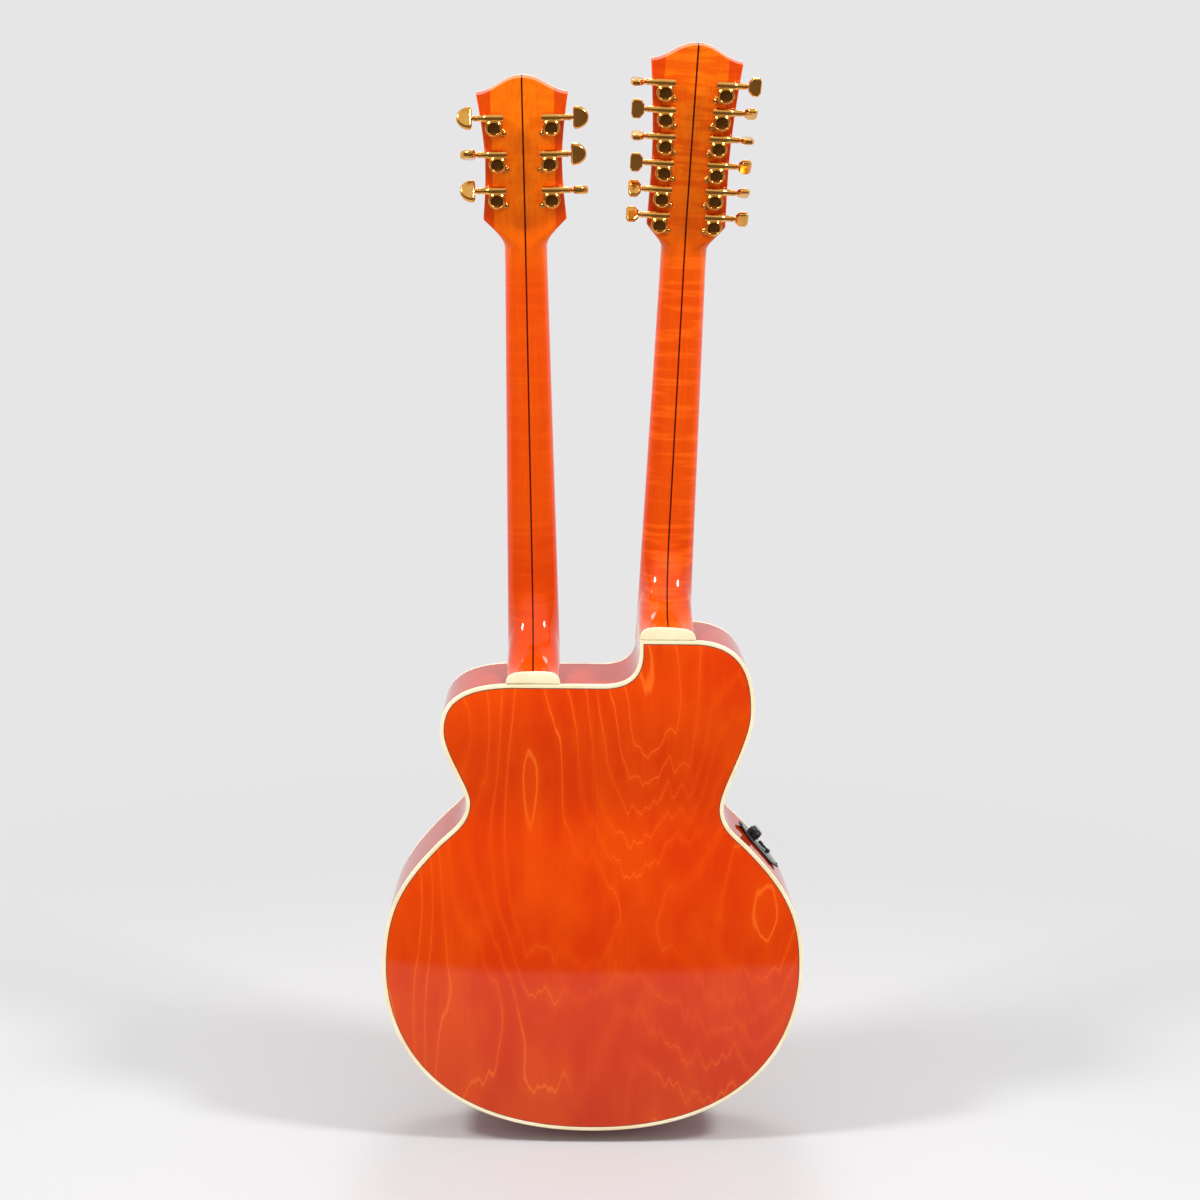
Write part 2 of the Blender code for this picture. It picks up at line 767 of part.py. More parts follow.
def make_heel_cap(label, spec, root):
    """The plate that closes the heel, flush with the back of the body."""
    edge = -heel_drop(spec)
    half = half_width(spec, heel_drop(spec))
    section = neck_section(
        (0.0, edge - HEEL_OVERLAP), (0.0, edge + HEEL_CAP_RISE), half, HEEL_ROUNDNESS
    )
    mesh = flat_mesh(f"heel_cap_{label}", [[(p.x, p.z) for p in section]], HEEL_CAP_THICKNESS)
    seat = neck_frame(spec) @ standing(BODY_DEPTH - HEEL_CAP_THICKNESS / 2)
    cap = place(f"heel_cap_{label}", mesh, seat, CREAM_PLASTIC, root)
    boolean(cap, BODY_CUTTER, "DIFFERENCE")


def string_places(spec):
    """(x at the nut, x at the saddle, side, number of its tuner from the nut) of each string."""
    count = spec["string_count"]
    courses = 6
    found = []
    for course in range(courses):
        share = 2 * course / (courses - 1) - 1
        offsets = (0.0,) if count == courses else (-0.5, 0.5)
        for offset in offsets:
            at_nut = share * spec["nut_spread"] + offset * spec["pair"]
            at_saddle = share * spec["saddle_spread"] + offset * spec["pair"]
            found.append((at_nut, at_saddle))
    half = count // 2
    places = []
    for index, (at_nut, at_saddle) in enumerate(found):
        side = -1 if index < half else 1
        number = index + 1 if side < 0 else count - index
        places.append((at_nut, at_saddle, side, number))
    return places


def make_strings(label, spec, root):
    """The strings from their tuning posts over nut and saddle to one anchor bar on the bridge."""
    frame = neck_frame(spec)
    to_neck = frame.inverted() @ head_frame(spec)
    posts = {(side, number): (x, along) for side, number, x, along in tuner_places(spec)}
    saddle_z = -SCALE_LENGTH
    anchor_y = -(GAP + BRIDGE_THICKNESS + GAP + ANCHOR_RADIUS)
    anchor_z = saddle_z - PIN_SETBACK
    curve = bpy.data.curves.new(f"strings_{label}", "CURVE")
    curve.dimensions = "3D"
    curve.bevel_depth = STRING_RADIUS
    curve.bevel_resolution = 0
    curve.use_fill_caps = True
    anchor_reach = spec["saddle_spread"] + spec["pair"] + 2 * ANCHOR_RADIUS
    pieces = []
    for at_nut, at_saddle, side, number in string_places(spec):
        post_x, post_z = posts[side, number]
        beside = post_x - side * (POST_RADIUS + GAP + STRING_RADIUS)
        end = to_neck @ Vector((beside, -STRING_HEIGHT_ON_POST, post_z))
        pieces.append(
            (
                end,
                Vector((at_nut, -STRING_AT_NUT, NUT_LENGTH)),
                Vector((at_saddle, -STRING_AT_SADDLE, saddle_z - SADDLE_THICKNESS / 2)),
                Vector((at_saddle, anchor_y, anchor_z)),
            )
        )
    for points in pieces:
        spline = curve.splines.new("POLY")
        spline.points.add(len(points) - 1)
        for point, corner in zip(spline.points, points):
            point.co = (*corner, 1.0)
    drawn = bpy.data.objects.new(f"strings_{label}", curve)
    CUTTERS.objects.link(drawn)
    mesh = applied(drawn, f"strings_{label}")
    bpy.data.curves.remove(curve)
    strings = place(f"strings_{label}", mesh, frame, STRING_WIRE, root)
    bar = cylinder_mesh(f"anchor {label}", ANCHOR_RADIUS, -anchor_reach, anchor_reach, 8)
    across = Matrix.Translation((0.0, anchor_y, anchor_z)) @ Matrix.Rotation(math.radians(90), 4, "Y")
    boolean(strings, place(f"anchor {label}", bar, frame @ across), "UNION")


def make_bridge(label, spec, root):
    """A belly bridge with its saddle, across the strings at the scale length."""
    saddle_z = -SCALE_LENGTH
    half = BRIDGE_WIDTH / 2
    top = saddle_z + SADDLE_SETBACK
    bottom = top - BRIDGE_LENGTH
    wing = top - BRIDGE_WING_LENGTH
    right = bezier(
        (0.0, bottom), (0.5 * half, bottom), (0.5 * half, wing), (half - BRIDGE_CORNER, wing), 4
    )
    right += [
        (half - BRIDGE_CORNER, wing),
        (half, wing + BRIDGE_CORNER / 2),
        (half, top - BRIDGE_CORNER / 2),
        (half - BRIDGE_CORNER, top),
    ]
    outline = right + [(-x, z) for x, z in reversed(right[1:])]
    slab = flat_mesh(f"bridge_{label}", [outline], BRIDGE_THICKNESS)
    seat = neck_frame(spec) @ standing(-GAP - BRIDGE_THICKNESS / 2)
    bridge = place(f"bridge_{label}", slab, seat, ROSEWOOD, root)
    saddle = box_mesh(
        f"saddle {label}",
        (-SADDLE_WIDTH / 2, -GAP - BRIDGE_THICKNESS - SADDLE_RISE, saddle_z - SADDLE_THICKNESS / 2),
        (SADDLE_WIDTH / 2, -GAP - BRIDGE_THICKNESS / 2, saddle_z + SADDLE_THICKNESS / 2),
    )
    boolean(bridge, place(f"saddle {label}", saddle, neck_frame(spec)), "UNION")


def tuner_housing_mesh(side):
    """Round gearbox, worm barrel, screw ear, threaded bushing and string post.

    Local X runs across the headstock, Y out of its back, Z towards its crest; the post is at
    the origin, on the headstock's back face. The barrel points outwards, to the side given.
    """
    front = -HEAD_THICKNESS - GAP
    washer = front - BUSHING_WASHER_HEIGHT
    floor = TUNER_HOUSING_HEIGHT - TUNER_RECESS_DEPTH
    profile = [
        (0.0, floor),
        (TUNER_RECESS_RADIUS, floor),
        (TUNER_RECESS_RADIUS + TUNER_RING_SLOPE, TUNER_HOUSING_HEIGHT),
        (TUNER_HOUSING_RADIUS - TUNER_RING_SLOPE, TUNER_HOUSING_HEIGHT),
        (TUNER_HOUSING_RADIUS, GAP),
        (BUSHING_RADIUS, GAP),
        (BUSHING_RADIUS, front),
        (BUSHING_WASHER_RADIUS, front),
        (BUSHING_WASHER_RADIUS - 0.001, washer),
        (POST_RADIUS, washer),
        (POST_RADIUS, -HEAD_THICKNESS - POST_HEIGHT),
        (0.0, -HEAD_THICKNESS - POST_HEIGHT),
    ]
    body = turned_mesh("gearbox", profile, 10)
    bore_end = TUNER_SLEEVE_END - TUNER_SHAFT_REACH - GAP
    barrel_profile = [
        (0.0, bore_end),
        (TUNER_BORE_RADIUS, bore_end),
        (TUNER_BORE_RADIUS, TUNER_SLEEVE_END),
        (TUNER_SLEEVE_RADIUS, TUNER_SLEEVE_END),
        (TUNER_BARREL_RADIUS, TUNER_BARREL_INNER),
        (TUNER_BARREL_RADIUS, -TUNER_BARREL_INNER),
        (0.0, -TUNER_BARREL_INNER),
    ]
    barrel = turned_mesh("barrel", barrel_profile, 8)
    reach = TUNER_EAR_DISTANCE
    ear_outline = [(0.0, -TUNER_EAR_RADIUS), (0.0, TUNER_EAR_RADIUS)]
    for step in range(4):
        angle = math.radians(90 - 60 * step)
        ear_outline.append(
            (reach + TUNER_EAR_RADIUS * math.cos(angle), TUNER_EAR_RADIUS * math.sin(angle))
        )
    ear = flat_mesh("ear", [ear_outline[::-1]], TUNER_EAR_THICKNESS)
    spin = math.pi + TUNER_EAR_SLOPE if side > 0 else -TUNER_EAR_SLOPE
    ear_place = (
        Matrix.Translation((0.0, GAP + TUNER_EAR_THICKNESS / 2, 0.0))
        @ Matrix.Rotation(-spin, 4, "Y")
        @ STANDING
    )
    outwards = Matrix.Rotation(math.radians(90 * side), 4, "Y")
    barrel_place = Matrix.Translation((0.0, tuner_axis_height(), TUNER_BARREL_OFFSET)) @ outwards
    turn_to_back = Matrix.Rotation(math.radians(-90), 4, "X")
    return joined_mesh(
        f"tuner housing {'treble' if side > 0 else 'bass'}",
        [(body, turn_to_back), (barrel, barrel_place), (ear, ear_place)],
    )


def tuner_axis_height():
    """Height of the worm's axis over the back of the headstock."""
    return GAP + TUNER_BARREL_RADIUS + TUNER_BARREL_CLEARANCE


def button_mesh(name, outline, thickness):
    """A button with its collar and worm shaft, along local X, pointing outwards."""
    plate = flat_mesh(name, [outline], thickness)
    stood = place(f"{name} plate", plate, Matrix())
    bevel = stood.modifiers.new("edges", "BEVEL")
    bevel.width = thickness * 0.22
    bevel.segments = 1
    bevel.angle_limit = math.radians(50)
    shaped = applied(stood, name)
    collar_start = TUNER_SLEEVE_END + GAP
    collar_end = collar_start + TUNER_COLLAR_LENGTH
    profile = [
        (0.0, BUTTON_FACE + BUTTON_HUB_SINK),
        (BUTTON_HUB_RADIUS, BUTTON_FACE + BUTTON_HUB_SINK),
        (BUTTON_HUB_RADIUS, collar_end),
        (TUNER_COLLAR_RADIUS, collar_end),
        (TUNER_COLLAR_RADIUS, collar_start),
        (TUNER_SHAFT_RADIUS, collar_start),
        (TUNER_SHAFT_RADIUS, TUNER_SLEEVE_END - TUNER_SHAFT_REACH),
        (0.0, TUNER_SLEEVE_END - TUNER_SHAFT_REACH),
    ]
    shaft = turned_mesh(f"{name} shaft", profile, 6)
    along = Matrix.Rotation(math.radians(90), 4, "Y")
    return joined_mesh(name, [(shaped, STANDING), (shaft, along)])


def moon_outline():
    """Half-moon: straight towards the headstock, round outwards."""
    half = MOON_WIDTH / 2
    points = [(BUTTON_FACE, half - MOON_EDGE / 2), (BUTTON_FACE, -half + MOON_EDGE / 2)]
    for step in range(9):
        angle = math.radians(-90 + 22.5 * step)
        points.append(
            (
                BUTTON_FACE + MOON_EDGE + (MOON_LENGTH - MOON_EDGE) * math.cos(angle),
                half * math.sin(angle),
            )
        )
    return points


def keystone_outline():
    half = KEYSTONE_WIDTH / 2
    near = BUTTON_FACE
    far = BUTTON_FACE + KEYSTONE_LENGTH
    return [
        (near, -0.52 * half),
        (near + 0.22 * KEYSTONE_LENGTH, -half),
        (near + 0.72 * KEYSTONE_LENGTH, -half),
        (far, -0.66 * half),
        (far, 0.66 * half),
        (near + 0.72 * KEYSTONE_LENGTH, half),
        (near + 0.22 * KEYSTONE_LENGTH, half),
        (near, 0.52 * half),
    ]


def make_tuners(label, spec, root, housings, button, rest_turns):
    """Each tuner is a fixed housing and a button that turns about the worm's axis."""
    head = head_frame(spec)
    for side, number, across, along in tuner_places(spec):
        name = f"{label}_{'treble' if side > 0 else 'bass'}_{number}"
        seat = head @ Matrix.Translation((across, HEAD_THICKNESS, along))
        housing = place(f"tuner_housing_{name}", housings[side], seat, GOLD_PLATE, root)
        smooth(housing)
        axis = seat @ Matrix.Translation((0.0, tuner_axis_height(), TUNER_BARREL_OFFSET))
        facing = Matrix.Rotation(math.radians(0 if side > 0 else 180), 4, "Z")
        turn = Matrix.Rotation(math.radians(rest_turns[side][number - 1]), 4, "X")
        turned = place(f"tuner_button_{name}", button, axis @ facing @ turn, GOLD_PLATE, root)
        smooth(turned)


def make_body():
    outline = inset_outline(0.0)
    rim_depth = BODY_DEPTH - 2 * (BINDING_HEIGHT + GAP)
    rim = ring_mesh("body_rim", 0.0, RIM_THICKNESS, rim_depth)
    rim = place("body_rim", rim, standing(0.0), ORANGE_LACQUER)
    plate_loop = inset_outline(BINDING_WIDTH + GAP)
    back = flat_mesh("back_plate", [plate_loop], PLATE_THICKNESS)
    place("back_plate", back, standing(BACK_Y - PLATE_THICKNESS / 2), ORANGE_LACQUER)
    hole = circle(SOUNDHOLE_X, TAIL_Z + SOUNDHOLE_HEIGHT, SOUNDHOLE_RADIUS, 32)
    top = flat_mesh("top_plate", [plate_loop, hole], PLATE_THICKNESS)
    place("top_plate", top, standing(FRONT_Y + PLATE_THICKNESS / 2), SPRUCE)
    binding = flat_mesh("binding", [outline, inset_outline(BINDING_WIDTH)], BINDING_HEIGHT)
    place("back_binding", binding, standing(BACK_Y - BINDING_HEIGHT / 2), CREAM_PLASTIC)
    place("top_binding", binding.copy(), standing(FRONT_Y + BINDING_HEIGHT / 2), CREAM_PLASTIC)
    return rim


def make_body_cutter():
    """The whole outside of the body with its clearance, which trims heels and heel caps."""
    mesh = flat_mesh("body cutter", [inset_outline(-GAP)], 3 * BODY_DEPTH)
    return place("body cutter", mesh, standing(0.0))


def make_inner_frame():
    """Linings, neck block, tail block and braces, glued to each other inside the rim."""
    # Blocks and braces end inside the linings, so that no two faces lie in one plane.
    depth = 2 * (INNER_HALF_DEPTH - GLUE_SINK)
    block_bounds = flat_mesh("block bounds", [inset_outline(LINING_INSET + GLUE_SINK)], depth)
    brace_bounds = flat_mesh(
        "brace bounds", [inset_outline(LINING_INSET + LINING_WIDTH / 2)], depth
    )
    inner = inset_outline(LINING_INSET + LINING_WIDTH)
    lining = flat_mesh("lining", [inset_outline(LINING_INSET), inner], LINING_HEIGHT)
    back_middle = INNER_HALF_DEPTH - LINING_HEIGHT / 2
    frame = place("inner_frame", lining, standing(back_middle), PALE_WOOD)
    top_lining = place("top lining", lining.copy(), standing(-back_middle))
    boolean(frame, top_lining, "UNION")
    reach = LOWER_BOUT_WIDTH
    far = INNER_HALF_DEPTH
    block_low = TAIL_Z + SIX_SHOULDER_HEIGHT - NECK_BLOCK_HEIGHT
    blocks = {
        "neck block": (
            (-NECK_BLOCK_SIDE, -BODY_DEPTH, block_low),
            (NECK_BLOCK_SIDE, BODY_DEPTH, block_low + BODY_DEPTH),
        ),
        "tail block": (
            (-TAIL_BLOCK_WIDTH / 2, -BODY_DEPTH, 0.0),
            (TAIL_BLOCK_WIDTH / 2, BODY_DEPTH, TAIL_Z + LINING_INSET + TAIL_BLOCK_HEIGHT),
        ),
    }
    for number, height in enumerate(BACK_BRACE_HEIGHTS):
        low = TAIL_Z + height - BRACE_WIDTH / 2
        blocks[f"back brace {number}"] = (
            (-reach, far - BRACE_HEIGHT, low),
            (reach, far + PLATE_THICKNESS, low + BRACE_WIDTH),
        )
    for number, height in enumerate(TOP_BRACE_HEIGHTS):
        low = TAIL_Z + height - BRACE_WIDTH / 2
        blocks[f"top brace {number}"] = (
            (-reach, -far - PLATE_THICKNESS, low),
            (reach, -far + BRACE_HEIGHT, low + BRACE_WIDTH),
        )
    for name, (low, high) in blocks.items():
        block = place(name, box_mesh(name, low, high), Matrix())
        bounds = block_bounds if "block" in name else brace_bounds
        shape = place(f"{name} bounds", bounds, standing(0.0))
        boolean(block, shape, "INTERSECT")
        boolean(frame, block, "UNION")
    return frame


def make_end_pin(rim, frame):
    """Strap pin: a button outside the tail, with a stem through the rim into the tail block."""
    stem = TAIL_Z + LINING_INSET + TAIL_BLOCK_HEIGHT / 2
    profile = [
        (0.0, stem),
        (END_PIN_NECK_RADIUS, stem),
        (END_PIN_NECK_RADIUS, TAIL_Z),
        (END_PIN_FOOT_RADIUS, TAIL_Z - GAP),
        (END_PIN_NECK_RADIUS, TAIL_Z - END_PIN_FOOT_LENGTH),
        (END_PIN_NECK_RADIUS, END_PIN_HEAD_LENGTH),
        (END_PIN_RADIUS, END_PIN_HEAD_EDGE),
        (END_PIN_RADIUS, 0.0),
        (0.0, 0.0),
    ]
    pin = place("end_pin", turned_mesh("end_pin", profile, 12), Matrix(), GOLD_PLATE)
    smooth(pin)
    hole = cylinder_mesh("end pin hole", END_PIN_NECK_RADIUS + GAP, END_PIN_HEAD_LENGTH, stem + GAP, 12)
    cutter = place("end pin hole", hole, Matrix())
    boolean(rim, cutter, "DIFFERENCE")
    boolean(frame, cutter, "DIFFERENCE")


def make_output_jack(rim, frame):
    """Jack socket beside the end pin: a flange on the rim and a barrel into the tail block."""
    base = TAIL_Z + tail_rise(JACK_X)
    face = TAIL_Z + tail_rise(abs(JACK_X) - JACK_FLANGE_RADIUS) - JACK_STANDOFF
    end = base + JACK_DEPTH
    profile = [
        (0.0, end),
        (JACK_BARREL_RADIUS, end),
        (JACK_BARREL_RADIUS, face + JACK_STANDOFF - GAP),
        (JACK_FLANGE_RADIUS, face + JACK_STANDOFF - GAP),
        (JACK_FLANGE_RADIUS, face),
        (JACK_SOCKET_RADIUS, face),
        (JACK_SOCKET_RADIUS, end - JACK_END_WALL),
        (0.0, end - JACK_END_WALL),
    ]
    spot = Matrix.Translation((JACK_X, 0.0, 0.0))
    jack = place("output_jack", turned_mesh("output_jack", profile, 12), spot, BLACK_PLASTIC)
    smooth(jack)
    hole = cylinder_mesh("jack hole", JACK_BARREL_RADIUS + GAP, 0.0, end + GAP, 12)
    cutter = place("jack hole", hole, spot)
    boolean(rim, cutter, "DIFFERENCE")
    boolean(frame, cutter, "DIFFERENCE")


def tail_rise(distance):
    """Height of the body's edge over the tail at a distance from the centre line."""
    loop = [(x, z - TAIL_Z) for x, z in body_outline()]
    for (x0, z0), (x1, z1) in zip(loop, loop[1:]):
        if x0 <= abs(distance) <= x1:
            return z0 + (z1 - z0) * (abs(distance) - x0) / (x1 - x0)
    return 0.0


def side_point(line, height):
    """The point at this height on a rising line of (x, height) points."""
    index = next(i for i, point in enumerate(line) if point[1] >= height)
    low, high = Vector(line[index - 1]), Vector(line[index])
    return low.lerp(high, (height - low.y) / (high.y - low.y))


def preamp_frame():
    """The panel's frame on the rim: X down the side, Y to the front, Z outwards."""
    line = twelve_side()[LOWER_STEPS : LOWER_STEPS + KNEE_STEPS + WAIST_STEPS + 1]
    height = LOWER_BOUT_HEIGHT + PANEL_CLIMB * (TWELVE_WAIST_HEIGHT - LOWER_BOUT_HEIGHT)
    half_rise = PANEL_STEEPNESS * PANEL_LENGTH / 2
    upper = side_point(line, height + half_rise)
    lower = side_point(line, height - half_rise)
    along = (lower - upper).normalized()
    outward = Vector((-along.y, along.x))
    under = [Vector(point) - upper for point in line if lower.y < point[1] < upper.y]
    bulge = max([0.0] + [step.dot(outward) for step in under])
    spot = (upper + lower) / 2 + outward * (bulge + GAP)
    axis_x = Vector((-along.x, 0.0, along.y))
    axis_z = Vector((-outward.x, 0.0, outward.y))
    axis_y = axis_z.cross(axis_x)
    turn = Matrix((axis_x, axis_y, axis_z)).transposed().to_4x4()
    return Matrix.Translation((-spot.x, PANEL_Y, spot.y + TAIL_Z)) @ turn


def make_preamp(rim):
    frame = preamp_frame()
    root = empty("preamp_axis", frame)
    half = PANEL_LENGTH / 2
    side = PANEL_WIDTH / 2
    straight = PANEL_STRAIGHT / 2
    tip = PANEL_TIP / 2
    hexagon = [
        (-half, -tip),
        (-straight, -side),
        (straight, -side),
        (half, -tip),
        (half, tip),
        (straight, side),
        (-straight, side),
        (-half, tip),
    ]
    plate = flat_mesh("preamp plate", [hexagon], PANEL_THICKNESS)
    panel = place(
        "preamp_panel",
        plate,
        frame @ Matrix.Translation((0.0, 0.0, PANEL_THICKNESS / 2)),
        BLACK_PLASTIC,
        root,
    )
    long = PREAMP_BOX_LENGTH / 2
    wide = PREAMP_BOX_WIDTH / 2
    walls = flat_mesh(
        "preamp walls",
        [
            [(-long, -wide), (long, -wide), (long, wide), (-long, wide)],
            [
                (-long + PREAMP_WALL, -wide + PREAMP_WALL),
                (long - PREAMP_WALL, -wide + PREAMP_WALL),
                (long - PREAMP_WALL, wide - PREAMP_WALL),
                (-long + PREAMP_WALL, wide - PREAMP_WALL),
            ],
        ],
        PREAMP_BOX_DEPTH,
    )
    sunk = Matrix.Translation((0.0, 0.0, PANEL_THICKNESS / 2 - PREAMP_BOX_DEPTH / 2))
    boolean(panel, place("preamp walls", walls, frame @ sunk), "UNION")
    ring = flat_mesh(
        "selector ring",
        [circle(0.0, 0.0, SELECTOR_RING_RADIUS, 16), circle(0.0, 0.0, SELECTOR_RING_BORE, 16)],
        PANEL_THICKNESS / 2 + SELECTOR_RING_HEIGHT,
    )
    ring_middle = PANEL_THICKNESS * 3 / 4 + SELECTOR_RING_HEIGHT / 2
    ring_spot = Matrix.Translation((SELECTOR_PLACE, 0.0, ring_middle))
    boolean(panel, place("selector ring", ring, frame @ ring_spot), "UNION")
    holes = {
        "knob hole": (KNOB_SHAFT_RADIUS + HOLE_CLEARANCE, (KNOB_PLACE, 0.0)),
        "selector hole": (SELECTOR_SHAFT_RADIUS + HOLE_CLEARANCE, (SELECTOR_PLACE, 0.0)),
        "button hole": (PRESS_BUTTON_RADIUS + HOLE_CLEARANCE, (BUTTON_PLACE, BUTTON_SIDE)),
    }
    for name, (radius, (x, y)) in holes.items():
        hole = cylinder_mesh(name, radius, -PREAMP_BOX_DEPTH, PREAMP_BOX_DEPTH, 12)
        cutter = place(name, hole, frame @ Matrix.Translation((x, y, 0.0)))
        boolean(panel, cutter, "DIFFERENCE")
    grow = PREAMP_CLEARANCE
    window = box_mesh(
        "preamp window",
        (-long - grow, -wide - grow, -PREAMP_BOX_DEPTH),
        (long + grow, wide + grow, PREAMP_BOX_DEPTH),
    )
    boolean(rim, place("preamp window", window, frame), "DIFFERENCE")
    make_knob(frame, root)
    make_selector(frame, root)
    make_press_button(frame, root)


def make_knob(frame, root):
    """Ribbed volume knob; its origin is on its shaft's axis, at the panel's face."""
    sections = []
    for radius, height in (
        (KNOB_RADIUS, HOLE_CLEARANCE),
        (KNOB_RADIUS, KNOB_SHOULDER),
        (KNOB_TOP_RADIUS, KNOB_HEIGHT),
    ):
        section = []
        for step in range(2 * KNOB_RIBS):
            reach = radius if step % 2 else radius - KNOB_RIB_DEPTH
            angle = math.pi * step / KNOB_RIBS
            section.append((reach * math.cos(angle), reach * math.sin(angle), height))
        sections.append(section)
    grip = loft_mesh("knob grip", sections)
    shaft = cylinder_mesh("knob shaft", KNOB_SHAFT_RADIUS, -KNOB_SHAFT_REACH, KNOB_HEIGHT / 4, 10)
    mesh = joined_mesh("volume_knob", [(grip, Matrix()), (shaft, Matrix())])
    spot = frame @ Matrix.Translation((KNOB_PLACE, 0.0, PANEL_THICKNESS))
    place("volume_knob", mesh, spot, BLACK_PLASTIC, root)


def make_selector(frame, root):
    """Selector: a hub in the ring and a lever over it; its origin is on its axis, at the panel."""
    low = SELECTOR_RING_HEIGHT + HOLE_CLEARANCE
    high = low + SELECTOR_LEVER_THICKNESS
    profile = [
        (0.0, high - GAP),
        (SELECTOR_HUB_RADIUS, high - GAP),
        (SELECTOR_HUB_RADIUS, HOLE_CLEARANCE),
        (SELECTOR_SHAFT_RADIUS, HOLE_CLEARANCE),
        (SELECTOR_SHAFT_RADIUS, -KNOB_SHAFT_REACH),
        (0.0, -KNOB_SHAFT_REACH),
    ]
    hub = turned_mesh("selector hub", profile, 12)
    wide = SELECTOR_LEVER_WIDTH / 2
    tip = SELECTOR_LEVER_TIP / 2
    outline = [
        (-wide, -tip),
        (0.0, -wide),
        (SELECTOR_LEVER_LENGTH - tip, -tip),
        (SELECTOR_LEVER_LENGTH, -tip / 2),
        (SELECTOR_LEVER_LENGTH, tip / 2),
        (SELECTOR_LEVER_LENGTH - tip, tip),
        (0.0, wide),
        (-wide, tip),
    ]
    lever = flat_mesh("selector lever", [outline], SELECTOR_LEVER_THICKNESS)
    raised = Matrix.Translation((0.0, 0.0, (low + high) / 2))
    mesh = joined_mesh("neck_selector", [(lever, raised), (hub, Matrix())])
    spot = frame @ Matrix.Translation((SELECTOR_PLACE, 0.0, PANEL_THICKNESS))
    place("neck_selector", mesh, spot, BLACK_PLASTIC, root)


def make_press_button(frame, root):
    """Push button with a flange behind the panel that keeps it in."""
    profile = [
        (0.0, PRESS_BUTTON_RISE),
        (PRESS_BUTTON_RADIUS - PRESS_BUTTON_EDGE, PRESS_BUTTON_RISE),
        (PRESS_BUTTON_RADIUS, PRESS_BUTTON_RISE - PRESS_BUTTON_EDGE),
        (PRESS_BUTTON_RADIUS, -PANEL_THICKNESS - GAP),
        (PRESS_BUTTON_FLANGE, -PANEL_THICKNESS - GAP),
        (PRESS_BUTTON_FLANGE, -PRESS_BUTTON_FLANGE_END),
        (PRESS_BUTTON_RADIUS, -PRESS_BUTTON_FLANGE_END),
        (PRESS_BUTTON_RADIUS, -PRESS_BUTTON_STEM),
        (0.0, -PRESS_BUTTON_STEM),
    ]
    spot = frame @ Matrix.Translation((BUTTON_PLACE, BUTTON_SIDE, PANEL_THICKNESS))
    button = place(
        "preamp_button", turned_mesh("preamp_button", profile, 10), spot, BLACK_PLASTIC, root
    )
    smooth(button)


for leftover in list(bpy.data.objects):
    bpy.data.objects.remove(leftover)

GUITAR = collection("double_neck_acoustic_guitar")
CUTTERS = collection("cutters")
CUTTERS.hide_render = True

ORANGE_LACQUER = material("orange_lacquer", ORANGE, 0.12)
SPRUCE = material("spruce_top", (0.85, 0.36, 0.08), 0.15)
CREAM_PLASTIC = material("cream_binding", CREAM, 0.25)
PALE_WOOD = material("pale_wood", (0.62, 0.42, 0.22), 0.7)
ROSEWOOD = material("rosewood", (0.055, 0.025, 0.014), 0.5)
BONE = material("bone", (0.85, 0.80, 0.66), 0.35)
GOLD_PLATE = material("gold_plate", GOLD, 0.18, 1.0)
STRING_WIRE = material("string_wire", (0.70, 0.60, 0.45), 0.3, 1.0)
BLACK_PLASTIC = material("black_plastic", (0.015, 0.015, 0.016), 0.4)

BODY_CUTTER = make_body_cutter()
BODY_RIM = make_body()
INNER_FRAME = make_inner_frame()
HOUSINGS = {side: tuner_housing_mesh(side) for side in (-1, 1)}
BUTTONS = {
    "6": button_mesh("moon button", moon_outline(), MOON_THICKNESS),
    "12": button_mesh("keystone button", keystone_outline(), KEYSTONE_THICKNESS),
}
# How far each button stands turned, in degrees, counted from the nut
REST_TURNS = {
    "6": {-1: (75, 8, 0), 1: (40, 80, 35)},
    "12": {-1: (35, 60, 40, 85, 55, 10), 1: (60, 50, 0, 88, 5, 90)},
}
for label, spec in NECKS.items():
    root = make_neck(spec)
    boolean(BODY_RIM, spec["mortise"], "DIFFERENCE")
    boolean(INNER_FRAME, spec["mortise"], "DIFFERENCE")
    make_fingerboard(label, spec, root)
    make_nut(label, spec, root)
    make_heel_cap(label, spec, root)
    make_bridge(label, spec, root)
    make_strings(label, spec, root)
    make_tuners(label, spec, root, HOUSINGS, BUTTONS[label], REST_TURNS[label])
make_end_pin(BODY_RIM, INNER_FRAME)
make_output_jack(BODY_RIM, INNER_FRAME)
make_preamp(BODY_RIM)
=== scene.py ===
"""Looks of the double-neck acoustic guitar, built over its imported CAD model. Metres, same frame."""

import json
import math
from types import SimpleNamespace

import bmesh
import bpy
from mathutils import Matrix, Vector


